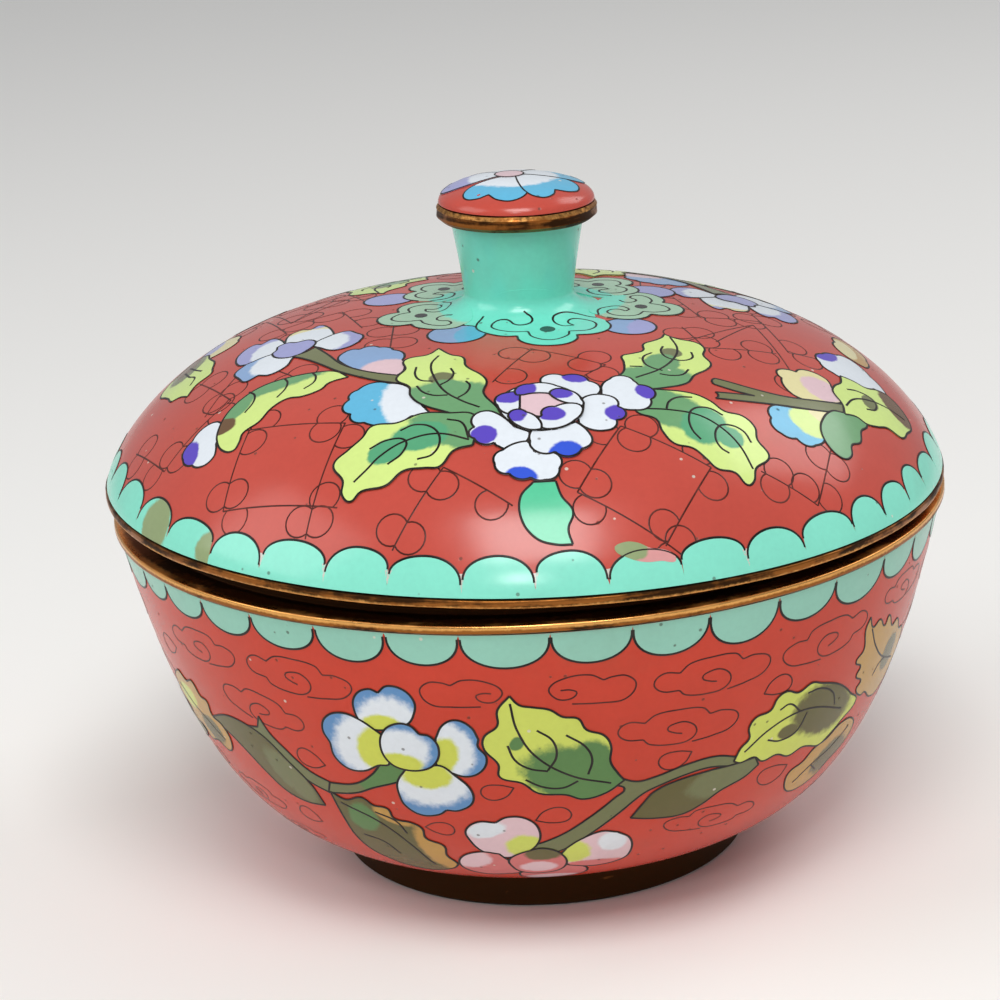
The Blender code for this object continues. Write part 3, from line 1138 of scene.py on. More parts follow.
CENTRE_FLOWER = [
    Cell([(3.3, 43, .8), (7.2, 40.3, .6), (11.7, 42.2, .5), (13.4, 46.2, .3), (10.4, 48, .1), (6, 45, .1)],
         "white", [("purple", 9.4, 40.6, 2.5, 2.2, 10)]),
    Cell([(13.9, 45.5, .25), (15.5, 41.2, .75), (19.8, 41.4, .2), (20.5, 42.6, .8), (22.6, 47, .5),
          (19.8, 50.7, .2), (16.4, 50.2, .1), (14, 47.5, .1)], "white",
          [("purple", 22.2, 44.4, 2.3, 2.4, 0)]),
    Cell([(10.5, 48.2, .3), (14.6, 46.9, .5), (16.6, 50.2, .85), (16.3, 54, .45), (14.4, 57, .35),
          (9.6, 55.4, .1)], "white", [("purple", 16.9, 52.1, 2.6, 2.4, 0)]),
    Cell([(-9.3, 54, .6), (-5.2, 52.3, .1), (-1.8, 56.6, 0), (.8, 58, .3), (-.4, 61, .5), (-4.6, 61.3, .3),
          (-5.4, 60.3, .5), (-8.9, 58.9, .7), (-8.8, 56, .2)], "white",
          [("purple", -7.2, 58.1, 2.4, 2.3, 0)]),
    Cell([(.4, 60.4, .1), (1.6, 63, .1), (5, 63.2, .5), (5.9, 66.6, .5), (3.4, 69.1, .3), (.8, 68.6, .4),
          (-3, 67.6, .5), (-5.5, 65.2, .5), (-4, 62.3, .2)], "white", [("royal", -.9, 68.4, 2.9, 2.2, 10)]),
    Cell([(.9, 60.5, .2), (1.2, 57.8, 0), (5.5, 57.5, 0), (9, 55.5, .15), (11.7, 59, .4), (10.6, 61.8, .2),
          (10, 62, .6), (5.2, 63, .45), (1, 61.8, .2)], "white", [("royal", 7.3, 63.2, 3.1, 2.8, -10)]),
    Cell([(-4.6, 50), (-3, 46.5), (1, 44.1), (5.5, 44.5), (9, 47), (10.5, 51), (8.8, 55), (4.5, 57.6),
          (0, 57.2), (-3.2, 54.4)], "white"),
    Cell([(-.8, 47.4), (3, 46.8), (5.8, 47.4), (7.5, 50.2), (5.4, 51.8), (3.2, 54), (1, 53.4), (-1, 51)],
         "pink"),
    Cell([(-4.6, 50.5, .6), (-2.8, 46.7, .5), (-.6, 47.4, 0), (-.7, 51, .4), (-2.6, 53.2, .3)],
         "white", [("purple", -2.8, 47.6, 2.7, 2.4, 0)]),
    Cell([(-1.2, 47.6, .6), (1.2, 44.0, .3), (6, 44.8, .2), (7.6, 46.2, 0), (5.5, 47.6, -.2), (0, 47.6, 0)],
         "white", [("purple", .1, 45.4, 2.3, 2.5, 0)]),
    Cell([(4.6, 47.4, .6), (7.4, 46.0, .3), (10.2, 49.2, .3), (10.4, 51, 0), (7.5, 50.2, .2)],
         "white", [("purple", 6.4, 47.2, 2.3, 1.7, 10)]),
    Cell([(3.1, 54, .6), (5.5, 51.5, .2), (8.8, 50.4, .4), (10.4, 52, .2), (9, 55, .25), (4, 57.6, .3),
          (2, 55.8, .2)], "white", [("purple", 4.8, 53.5, 2.5, 1.9, 0)]),
    Cell([(-2.8, 53.9, .8), (.4, 53, .2), (2.6, 55.2, .2), (2.9, 57.6, .3), (-1, 56.7, .2)],
         "white", [("purple", -1.5, 53.3, 2.0, 2.2, 0)]),
]

SEPAL = [Cell([(1.2, 69.4, 0), (-1.2, 72.5), (-1, 77), (1.5, 80.3), (5, 81.4), (8.1, 81.3, 0), (7.3, 78.6),
               (8.2, 75.2), (6.2, 72.3), (5.2, 69.2, 0)], "sepal")]

LEFT_LEAVES = [
    Cell([(-15, 25.6, 0), (-12.8, 29.3), (-10.6, 31), (-10, 35.2), (-7.2, 39.5), (-6.4, 42), (-7, 46),
          (-4.8, 50.6), (-3.4, 53.5, 0), (-9, 53.6), (-14, 50.6), (-18, 47.6), (-20, 44.3), (-20.3, 41),
          (-22.6, 37.6), (-21, 34), (-21.4, 30.5), (-20.2, 29.1), (-17, 28.4)], "leaf",
         [("green", -12.5, 47.5, 10.5, 6.6, 15), ("olive", -14.5, 39.2, 2.3, 2.2, 0),
          ("green", -14.0, 43.2, 3.2, 3.2, 0)],
         [[(-15, 29.3), (-16.3, 33), (-15.9, 38), (-14, 44), (-11, 47.8), (-7.8, 50.4)],
          [(-19, 33.6), (-19.2, 36.8), (-18.2, 39.2), (-16, 40.1)],
          [(-12.8, 35.6), (-12.3, 38), (-13.2, 40.4), (-14.8, 41.8)],
          [(-18.9, 41.2), (-17.8, 43.6), (-15.8, 45.2), (-13.4, 45.6)],
          [(-10.1, 41.2), (-9.4, 43), (-10.1, 45.4), (-11.6, 46.8)]]),
    Cell([(-9, 52.3), (-13, 51.3), (-18, 50.4), (-22.5, 51.9), (-27, 51.4), (-29, 54), (-31.5, 56),
          (-34.5, 58.6),
          (-33, 62.8), (-33.4, 65.6), (-32, 67.6), (-29.8, 66.2), (-25.2, 66.3), (-21.8, 64), (-18, 64.2),
          (-15.2, 64.4), (-12.6, 61.2), (-9.2, 60.4, 0), (-8.4, 56)], "leaf",
         [("green", -11.5, 56, 9.5, 4.6, 28), ("jade", -18.5, 56.3, 5.2, 3.6, 0),
          ("jade", -24.5, 58.6, 3.8, 2.8, -20)],
         [[(-31, 63.8), (-28.4, 61.8), (-26, 59.6), (-21.5, 57.2), (-15.5, 56.5), (-9.8, 59)],
          [(-27.7, 57.2), (-24.4, 56), (-21.2, 56.9), (-21.8, 59.8), (-24.6, 61.8)],
          [(-22, 54.2), (-19.3, 53.3), (-16.2, 54.8), (-15, 58.2), (-16.4, 61.4), (-19.2, 62)],
          [(-13.6, 53), (-11, 54.4), (-9.9, 58.6)]]),
]

RIGHT_LEAVES = [
    Cell([(26.4, 18.8, 0), (28.6, 20.8), (32.2, 22), (33.5, 24.4), (33.1, 27.8), (34.3, 31), (33.4, 33.6),
          (31, 36.6), (29.4, 40), (25, 42.7), (21.3, 44, 0), (18.5, 43.5), (17, 41), (18.2, 37.5),
          (18.3, 34),
          (18.1, 31.2), (20, 29.9), (22, 28.2), (22.3, 24.8), (24.4, 22.6), (25.8, 20.8)], "leaf",
         [("green", 22.5, 40, 9, 4.8, -18), ("olive", 27.2, 28.2, 2, 2.1, 0),
          ("green", 25.2, 33.2, 3.2, 4.2, 20)],
         [[(27.4, 20.2), (28.4, 26), (27.4, 31), (24.6, 36), (20.2, 40)],
          [(25.8, 25.4), (25.3, 28), (26.3, 30.6), (28.4, 31.4)],
          [(30.9, 27), (31, 29.4), (29.8, 30.9), (28.4, 31.4)],
          [(23.6, 28.9), (22, 31), (22, 33.8), (23.4, 35.6), (25.2, 36.3)],
          [(30, 34.7), (28.8, 37), (26.6, 37.9), (24.6, 37.7)],
          [(19.3, 35.6), (21.6, 35.4)]]),
    Cell([(21.5, 44.3), (26, 43.3), (30.5, 43.3), (33.6, 44.7), (36, 46.8), (39.4, 46.9), (41.7, 49),
          (42.2, 52.2),
          (44.5, 55.4), (42, 59.2), (41.7, 62.2), (40.4, 63.5), (38, 61.7), (34.6, 61.9), (32.4, 60.2),
          (30, 58.5), (26.6, 58.2), (24.5, 55.6), (23.4, 52.6), (20, 51.2), (19.5, 47.5)], "leaf",
         [("green", 24, 48.3, 9.8, 5.2, 18), ("jade", 32.2, 52, 4.2, 5, 20),
          ("jade", 37, 53.6, 2.6, 2.6, 0)],
         [[(21.5, 50), (26, 49.4), (31, 49.5), (35, 51.4), (38.6, 54.8), (41.4, 59.6)],
          [(30.2, 44.5), (27.6, 45.2), (25.9, 47), (25.4, 49.2)],
          [(35.7, 48.1), (33, 46.9), (30.3, 48), (29.4, 51), (30, 54), (31.5, 55.9)],
          [(41, 53.4), (39.4, 51), (36.8, 50.4), (34.8, 51.6), (34.2, 54.6), (35.2, 56.8), (36.8, 57.6)]]),
]

LONG_LEAF = [
    Cell([(-31.5, 33, 0), (-34, 29.5), (-38, 27.9), (-43, 27), (-48, 26.9), (-52, 28.6), (-55.2, 31.6),
          (-57, 35.6), (-57.3, 39), (-56.2, 42.4), (-54, 44), (-52.6, 42.4), (-51.8, 40.4), (-48.5, 39.2),
          (-46, 36.4), (-43, 35.1), (-40, 36), (-36.6, 35.4), (-35, 33.6)], "leaf",
         [("green", -45, 25.8, 12.5, 4.8, 0), ("green", -54, 30.5, 4.5, 4, -40),
          ("brown", -56, 35.2, 3, 2.2, 30)],
         [[(-50.6, 27.2), (-49.5, 29.2), (-49.7, 31.8), (-51.4, 34.2)],
          [(-43.6, 27), (-43, 29), (-43.5, 31.4), (-45, 33.4)],
          [(-38.2, 28), (-37.6, 29.8), (-38, 32), (-39.8, 33.4)]]),
]

FAR_LEAF = Cell(
    [(-64.5, 14, 0), (-66.5, 11.4), (-68.6, 10.2), (-69.6, 7), (-70.8, 4), (-72.4, 0), (-71.5, -5),
     (-68.5, -9),
     (-65.5, -12), (-62, -9), (-61, -4), (-60.2, -1), (-59.3, 2), (-59.4, 6), (-59.6, 9), (-62.6, 10.6)],
     "leaf",
    [("olive", -66, -5, 4, 6.5, 15), ("brown", -66, -7, 2.6, 5, 15)],
    [[(-64.2, 8.6), (-63.4, 5.5), (-65, 2), (-66.6, -4)], [(-62, 3.5), (-63.8, -.5), (-65.6, -6)]])

LEFT_FLOWER = [
    Cell([(-44.4, 9.2, 0), (-43.8, 4), (-41.4, 2.2), (-39.6, 3.2), (-38, 1.6), (-36.4, 3.6), (-35.2, 7.5),
          (-34.8, 10.3, 0), (-38, 12)], "cream", [("white", -40, 8, 5.2, 4.2, 0),
                                                  ("lilac", -38, 2, 2.2, 1.6, 0)]),
    Cell([(-35.2, 9.8, 0), (-32.2, 9), (-30.6, 11, 0), (-29.2, 13.4), (-29.9, 16.6, 0), (-31.8, 18.6),
          (-34.6, 19), (-37, 16.5), (-38.6, 13.4)], "lilac", [("white", -36.5, 13.6, 4.6, 5.6, 0)]),
    Cell([(-44.2, 9, 0), (-45.4, 5.4), (-47.2, 3), (-49.2, 4.2, 0), (-51, 2.8), (-53, 4.4), (-54.2, 8),
          (-53.4, 12.2), (-51.8, 13.5, 0), (-46, 13.8)], "lilac", [("white", -46.6, 11, 4.4, 6.2, 0)]),
    Cell([(-51.8, 13.5, 0), (-54, 16), (-53, 19.4, 0), (-51.6, 22), (-49, 21.4, 0), (-46.6, 23),
          (-43.6, 21.6),
          (-42.6, 19), (-42, 17, 0), (-46, 13.2)], "steel", [("white", -45.6, 17.6, 5.2, 5.2, 0)]),
    Cell([(-45.6, 9.6), (-43.8, 8.9), (-42, 10), (-39.6, 10.3), (-38.2, 12.6), (-39.2, 15.4), (-42, 17.6),
          (-45.2, 16.2), (-46.6, 13), (-45.8, 11.4)], "lilac"),
]

LEFT_STEM = [
    Cell([(-42.4, 17.6, 0), (-39.6, 21), (-36.4, 25.6), (-33.6, 29.6), (-30, 33.4), (-26, 36.8),
          (-22.4, 39, 0),
          (-21.6, 36.4, 0), (-26.4, 33.6), (-30.4, 30.2), (-33.2, 26.4), (-35.4, 21.4), (-38.1, 15.6, 0),
          (-40, 17.2)], "olive"),
]

LEFT_PETALS = [
    Cell([(-33.4, 25, .3), (-32.6, 21.4, .5), (-29.6, 21, .6), (-26, 21.4, .4), (-23.4, 23.6, .4),
          (-21.6, 29, .1),
          (-21.2, 33.5, .3), (-23.4, 36, .1), (-28, 32.8, .1)], "steel", [("pink", -24, 33, 5.8, 4.6, 30)]),
    Cell([(-31.2, 41.6, .5), (-29.6, 38.8, .5), (-24, 38.4, .2), (-20.4, 41, .1), (-19.4, 45, 0),
          (-16.6, 50.4, .1),
          (-20, 50.4, .2), (-23.6, 52, .2), (-28.6, 49.6, .5), (-31, 46.2, .6)],
         "sky", [("white", -20, 46, 5.4, 9, -8)]),
    Cell([(-56.4, 33.6, .1), (-57.6, 39.2, .1), (-58, 42.2, .4), (-61.4, 42.8, .2), (-63.2, 40.8, .3),
          (-65.2, 37.4, .5), (-62.8, 33.8, .3), (-59, 31.7, .3)], "white",
          [("purple", -64, 37.6, 2.6, 3.9, 8)]),
]

RIGHT_STEM = [
    Cell([(60.2, 30.4, 0), (54, 34), (48, 36.6), (42, 37.3), (34.8, 36.6, .5), (34.5, 38.8, 0), (38, 39.5),
          (42, 39.6, 0), (38, 40.6), (34.6, 41.4, -.5), (34.6, 43.4, 0), (40, 42.2), (47, 40), (54, 37.2),
          (60.2, 33.6, 0)], "olive"),
]

RIGHT_PETALS = [
    Cell([(59.8, 30.2, .1), (58, 26, .15), (57.2, 23.6, .3), (51.8, 23.8, .2), (50.8, 25.6, .2),
          (47.6, 26.6, .5),
          (47.7, 30, .3), (49.6, 34.8, .2), (53, 34.9, .1)], "cream", [("pink", 55.6, 28.6, 4, 3.8, 0)]),
    Cell([(57.4, 35.4, 0), (54, 37.2), (50, 39.1), (46.4, 40.3, .5), (45, 44.8, .5), (47, 48.2, .35),
          (50, 47.9, .5),
          (54, 47.4, .4), (55.4, 41, .1)], "sky", [("leaf", 53, 41.5, 4.4, 3.9, 0),
                                                   ("cream", 55.2, 37.6, 2.6, 2.4, 0)]),
    Cell([(71.5, 13.2, .2), (68, 9.4, .2), (64.6, 6.2, .4), (60.6, 7.8, .2), (57.2, 11.2, .4),
          (56.3, 16.4, .4),
          (58.6, 18.8, .3), (66, 17.8, .1), (68.4, 15, .1)], "white", [("purple", 57.8, 10.6, 2.5, 4, 25)]),
]

RIGHT_LEAF_PAIR = [
    Cell([(57.6, 34.8), (55.5, 39), (55.1, 43), (57, 46.2), (60, 47), (61.8, 45), (61.8, 42), (63.8, 39.6),
          (64, 36), (65.4, 32.6), (63, 31.6), (60, 33.4)], "green"),
    Cell([(60.4, 33.6, 0), (60, 30.5), (58.2, 27.6), (58.6, 25), (60.2, 22), (60.4, 18.9, 0), (63, 18.2),
          (66, 17.8), (69, 15), (72, 13.6), (75.6, 15.5), (77.4, 19.5), (76, 23.6), (74.4, 27.4),
          (70.6, 28.4),
          (68.2, 30.6), (65.4, 32.4), (63, 32.2)], "leaf",
         [("brown", 73.4, 17.6, 3.4, 5, -50), ("olive", 66.6, 23.4, 1.9, 2.6, 20)],
         [[(60.8, 30.4), (62.6, 26.4), (66, 23), (70.6, 20.4), (75.6, 18.8)],
          [(61.4, 23.6), (64, 21.8), (67.4, 21.4), (67.8, 24.8), (65.6, 27)]]),
]

FAR_PETALS = [
    Cell([(62, 3.6, .3), (61.6, -3, .3), (63.4, -9.6, .5), (67.6, -8.6, .2), (68.6, -2, .2),
          (67.6, 4.6, .4)],
         "gold", [("cream", 63.6, -1, 2.6, 6, 0)]),
    Cell([(-62.6, -5.4, .2), (-63.6, -10, .2), (-61.2, -16.6, .5), (-56.6, -15, .3), (-55.2, -8.6, .5),
          (-58.4, -3.4, .3)], "cream", [("lilac", -61, -13, 2.4, 5, 10)]),
]

# Wires of the ground: straight lines with a knob on either side near each end.
LATTICE = [((-57.6, 57), (-50.5, 40.4)), ((-51, 40.2), (-32, 48.4)), ((-32, 48.4), (-41.6, 71.4)),
           ((-57.6, 57), (-34.6, 67.8)), ((-14.6, 64.6), (-25.2, 79)), ((-14.6, 64.6), (-2.6, 74)),
           ((-61.8, 11.4), (-54.4, 27)), ((-54.4, 27), (-70, 36)), ((-70, 36), (-77.6, 20)),
           ((-23.6, 9), (-24, 23)), ((2, 27.6), (-5.4, 42)), ((1.6, 27.6), (15, 35.4)),
           ((15, 35.4), (11, 40)),
           ((-44, -6), (-36, -20)), ((17, 55.5), (33.4, 62)), ((17, 55.5), (9, 71.4)),
           ((33.4, 62), (25.4, 79.6)),
           ((9, 71.4), (30.4, 81.4)), ((43, 59.4), (55.2, 61.2)), ((57.2, 46.6), (55.2, 61.2)),
           ((30, 13.6), (33.6, 24)), ((33.6, 24), (47.4, 19.8)), ((44.4, -2), (50, 17.4)),
           ((50, 17.4), (58.4, 14.4)),
           ((34, 6.4), (46, 2.4)), ((34, 6.4), (29.6, -8)), ((-30, -22), (-44, -6)), ((40, -30), (52, -12)),
           ((-52, -34), (-44, -6)), ((60, -28), (44.4, -2))]
KNOB_RADIUS_MM = 3.0


def knob_arc(corner, along, side):
    """A round knob beside a line, open where it meets it."""
    normal = Vector((-along.y, along.x)) * side
    middle = Vector(corner) + along * 3.3 + normal * 1.9
    points = []
    for index in range(17):
        angle = math.radians(-128 + 256 * index / 16)
        point = middle + (normal * math.cos(angle) + along * math.sin(angle)) * KNOB_RADIUS_MM
        points.append((point.x, point.y))
    return points


def lid_lattice():
    """Lines and knobs in the ground, drawn for the front and repeated behind."""
    draw = random.Random(11)
    lines, knobs = [], []
    for turn in (0, 180):
        for start, end in LATTICE:
            start, end = moved_points([start, end], 0, 0, turn, 1, False)
            along = (Vector(end) - Vector(start)).normalized()
            lines.append(smooth_points([start, end], False))
            for corner, way in ((start, along), (end, -along)):
                for side in (1, -1):
                    knob = knob_arc(corner, way, side)
                    alone = all(math.dist(knob[8], other) > 4.8 for other in knobs)
                    if alone and draw.random() < 0.9:
                        lines.append(knob)
                        knobs.append(knob[8])
    return lines


def behind(cells, turn=180.0):
    """The cells again, turned round the crown of the lid."""
    return [moved(cell, turn=turn) for cell in cells]


def named(group, cells):
    for cell in cells:
        cell.group = group
    return cells


def lid_picture():
    """All cells of the lid in drawing order, each with its level and group."""
    leaves = LONG_LEAF + LEFT_LEAVES + RIGHT_LEAVES + SEPAL + RIGHT_LEAF_PAIR
    stems = LEFT_STEM + RIGHT_STEM
    flowers = LEFT_FLOWER + LEFT_PETALS + RIGHT_PETALS
    scallops = named("scallops", lid_scallops()[0] + lid_fillings())
    cells = named("petals", flowers + behind(flowers[:-1]) + FAR_PETALS)
    cells += named("stems", stems + behind(stems))
    cells += named("leaves", leaves + behind(leaves[:-1]) + [FAR_LEAF])
    cells += named("centre", CENTRE_FLOWER + behind(CENTRE_FLOWER))
    cells += named("collar", lid_collar())
    cells += named("dots", lid_dots())
    return scallops + stacked(cells)


# ---- cap of the knob ----

CAP_PETAL = [(0, .6, 0), (-4.6, 6.2), (-6.4, 10.2), (-5.4, 12.8), (-2.8, 13.2), (-1.0, 12, 0), (1.2, 13.6),
             (4.2, 13.4),
             (6.0, 10.4), (4.6, 6)]
CAP_PETAL_TURNS = (-18, 46, 116, 188, 262)


def cap_cells():
    cells = []
    for turn, color in zip(CAP_PETAL_TURNS, ("sky", "sky", "sky", "lilac", "lilac")):
        petal = Cell(CAP_PETAL, color, [("white", 0, 2, 8.5, 6.4, 0)])
        cells.append(moved(petal, -.6, -1.2, -turn, 0.99))
    cells.append(Cell(round_outline(-1.2, -1.8, 2.7, 3.0), "pink"))
    return stacked(cells)


# =============================================================================================
# drawings of the bowl
# =============================================================================================

# Places round the bowl, in mm from the front, where two scallops meet, and how deep each one
# hangs. The rest are even.
BOWL_CUSPS = (-89, -79, -67, -54, -40, -26.4, -13.2, 2.5, 16.7, 30.8, 45, 58.6, 73, 86)
BOWL_DEPTHS = (4.8, 5.4, 5.8, 6.0, 6.6, 6.3, 6.8, 6.6, 7.0, 7.5, 6.3, 7.0, 6.2)
BOWL_BACK_SCALLOPS = 24
BOWL_ROUND = 2 * math.pi * BOWL_RADIUS / MM     # mm round the mouth


def bowl_scallops():
    """Turquoise scallops that hang from the mouth, and the wires round them."""
    draw = random.Random(8)
    cusps, depths = list(BOWL_CUSPS), list(BOWL_DEPTHS)
    step = (BOWL_ROUND - BOWL_CUSPS[-1] + BOWL_CUSPS[0]) / BOWL_BACK_SCALLOPS
    for index in range(1, BOWL_BACK_SCALLOPS + 1):
        cusps.append(BOWL_CUSPS[-1] + step * index + (draw.uniform(-0.8,
                                                            0.8) if index < BOWL_BACK_SCALLOPS else 0))
        depths.append(draw.uniform(5.6, 7.2))
    cells, runs = [], []
    for left, right, depth in zip(cusps, cusps[1:], depths):
        middle = facing((left + right) / 2 * MM / BOWL_RADIUS)
        left, right = middle - (right - left) / 2, middle + (right - left) / 2
        gap = draw.uniform(0.2, 0.7)
        hang = []
        for index in range(25):
            turn = math.pi * index / 24
            across = math.cos(turn) * ((right - left) / 2 - gap / 2)
            hang.append((middle + across, 0.9 + (depth - 0.9) * math.sin(turn) ** 0.85))
        top = [(left, 0.05, 0), (right, 0.05, 0)]
        cells.append(Cell(top + [(*hang[0], 0)] + hang[1:-1] + [(*hang[-1], 0)], "bowl_turquoise",
                          wired=False))
        runs.append(hang)
    return cells, runs


# The cloud of the ground about its own middle: one wire with a double scroll inside.
CLOUD = [(0.5, 1.6), (-1.0, 1.2), (-2.3, 0.2), (-1.0, -0.8), (1.5, -0.8), (3.3, 1.2), (2.0, 3.3),
         (-1.5, 3.8),
         (-5.5, 3.2), (-6.7, 2.0, 0), (-10.0, 1.6), (-11.3, -0.3), (-9.5, -2.1), (-6.5, -1.7, 0),
         (-4.5, -3.3),
         (-0.5, -3.8), (4.2, -3.5), (5.8, -1.9, 0), (8.5, -2.2), (11.5, -0.7), (10.3, 2.0), (6.5, 3.2),
         (2.5, 3.8)]
SMALL_CLOUD = [(-6.2, 0), (-4.5, 0), (-3.4, 0.8), (-5, 2), (-7.2, 1.5), (-8.1, -0.7), (-5, -2.6),
               (-1, -2.8),
               (1.3, -1.5, 0), (3, -2), (5.5, -1.8), (7, 0.3), (5, 3), (1, 3.3), (-4.3, 3)]
# x, y, size, turn in degrees and mirrored, for the front of the bowl.
CLOUDS = ((31.5, 13, 1, 0, False), (24.8, 23, 1, 3, False), (57.5, 12.7, 1, -4, True),
          (-45, 12, 1, 4, False),
          (-54.5, 21.5, 0.9, 10, True), (-70, 11.5, 0.9, 0, False), (31.5, 48.5, 0.85, 4, True),
          (84, 10.5, 0.8, 0, False), (-62, 47, 0.7, 12, False), (64, 57, 0.6, 0, False),
          (-52, 57, 0.6, 0, True))
# And for the sides, between the front picture and its repeat.
SIDE_CLOUDS = ((14, 12, 1, 0, False), (-16, 12.5, 1, 0, True), (20, 24, 0.9, 5, False),
               (-22, 24, 0.9, 0, False),
               (-18, 37, 0.8, 0, True), (2, 46, 0.7, 0, False))
SMALL_CLOUDS = ((10, 12, 1, 0, False), (-14, 11.9, 0.95, 2, True))
# Teardrops: x, y, width and the way that the tip points (degrees, clockwise from the right).
TEARDROPS = ((-44, 31, 6.5, 20), (-8, 34.3, 6.0, -10), (1.5, 41.0, 6.5, 170), (-19, 44.6, 5.5, 190),
             (24, 30.4, 6.5, -12), (45, 19.3, 6.5, 172), (45, 41.2, 7.5, -8), (-47, 48, 6.0, 30),
             (-84, 16, 6.5, 0), (-76, 43, 6.0, 20))


def bowl_ground_lines():
    lines = []
    for shift in (0.0, facing(math.pi)):
        for knots, places in ((CLOUD, CLOUDS), (SMALL_CLOUD, SMALL_CLOUDS)):
            for x, y, size, turn, flip in places:
                for run in runs_of(moved_points(knots, x + shift, y, turn, size, flip), False):
                    lines.append(run)
        for x, y, wide, turn in TEARDROPS:
            half = wide / 2
            drop = [(half, -0.4, 0), (half * 0.2, -half * 0.52), (-half * 0.7, -half * 0.55), (-half, 0.1),
                    (-half * 0.5, half * 0.62), (half * 0.4, half * 0.5)]
            lines += runs_of(moved_points(drop, x + shift, y, turn, 1, False), True)
    for degrees in SPRAY_TURNS:
        for x, y, size, turn, flip in SIDE_CLOUDS:
            place = facing(math.radians(degrees)) + x
            lines += runs_of(moved_points(CLOUD, place, y, turn, size, flip), False)
    return lines


BOWL_FLOWER = [
    Cell([(-31.6, 20.4), (-33.4, 16.6), (-32.6, 13.6), (-30.2, 12.2), (-28.4, 12.8, 0), (-26.6, 11.2),
          (-23.6, 11.8),
          (-21.8, 14.2), (-22, 16.8), (-23.4, 19.2), (-28, 21)], "azure",
         [("white", -27, 20.5, 6.4, 7.0, 0), ("lemon", -28.2, 20.2, 3.8, 2.6, 0)]),
    Cell([(-28.4, 22, 0), (-32.4, 19.2), (-36, 18.2), (-39.2, 19.6), (-40.3, 22.6), (-39, 25.6, 0),
          (-38.4, 28.8),
          (-35.8, 31.2), (-32.6, 31.2), (-29.6, 29.4), (-27.4, 28.6)], "azure",
         [("white", -31, 25, 7.0, 7.4, 0), ("lemon", -29.8, 25.4, 3.6, 4.8, 0)]),
    Cell([(-18.4, 22, 0), (-17, 19), (-14.6, 17.8), (-12, 19.3), (-10.8, 22, 0), (-11, 23.6), (-9.6, 26),
          (-10.4, 29), (-13, 30.6), (-16, 29.8), (-18.6, 28)], "azure",
         [("white", -16.4, 24.6, 4.8, 6.2, -15), ("lemon", -17.6, 26.2, 3.0, 4.4, 20)]),
    Cell([(-24.4, 29.6, 0), (-26.2, 33), (-26, 36.6), (-25, 39), (-22.2, 41), (-19, 40.6), (-17.4, 39.2, 0),
          (-15.2, 39.2), (-12.6, 37), (-12.8, 33.6), (-15.4, 30.4), (-18, 28.2), (-21, 29)], "azure",
         [("white", -20, 31.6, 7.6, 6.6, 0), ("lemon", -20.6, 30.8, 4.6, 3.2, 0)]),
    Cell([(-28.8, 24.6), (-28, 21.2), (-25.6, 19.3), (-23, 19.4), (-21.3, 21.2, 0), (-19.4, 21.6),
          (-18, 24),
          (-18.6, 27.4), (-21, 29.4), (-25, 29.6), (-27.6, 28)], "azure",
         [("white", -25.6, 25.8, 6.2, 5.0, -25), ("lemon", -25.4, 28.4, 4.4, 2.4, 0)]),
]

FLOWER_SEPAL = Cell([(-28.8, 28.3, 0), (-27.2, 28.2), (-23.2, 30.2), (-23.6, 31.6), (-27, 33.4),
                     (-31, 35.2),
                     (-35, 37.4), (-41, 38.8, 0), (-40.4, 36, 0), (-35, 35), (-31.2, 32)], "moss",
                    [("olive", -37, 37, 4.5, 3, 0)])

BOWL_STEMS = [
    Cell([(-40.2, 39, 0), (-46, 36.6), (-52, 31.6), (-56, 28.4), (-59.6, 27.2, 0), (-56.4, 26.4, 0),
          (-55.6, 23.6, 0),
          (-53.4, 27), (-50, 30), (-45, 34), (-40, 36, 0)], "olive"),
    Cell([(13, 32.4, 0), (16.6, 34.2), (20, 33.8), (26, 32.2), (32, 31.8), (37, 33.6, 0), (36.2, 35.6, 0),
          (31, 34.2), (26, 34.6), (20, 36.4), (17.4, 37.8), (13, 42), (8, 46.8), (3.6, 50.8),
          (-1.4, 53.4, 0),
          (-3.4, 50, 0), (2.6, 46.6), (7.6, 42.4), (12.6, 37.6), (14.4, 35.6), (12.4, 34.2, 0)], "olive"),
]

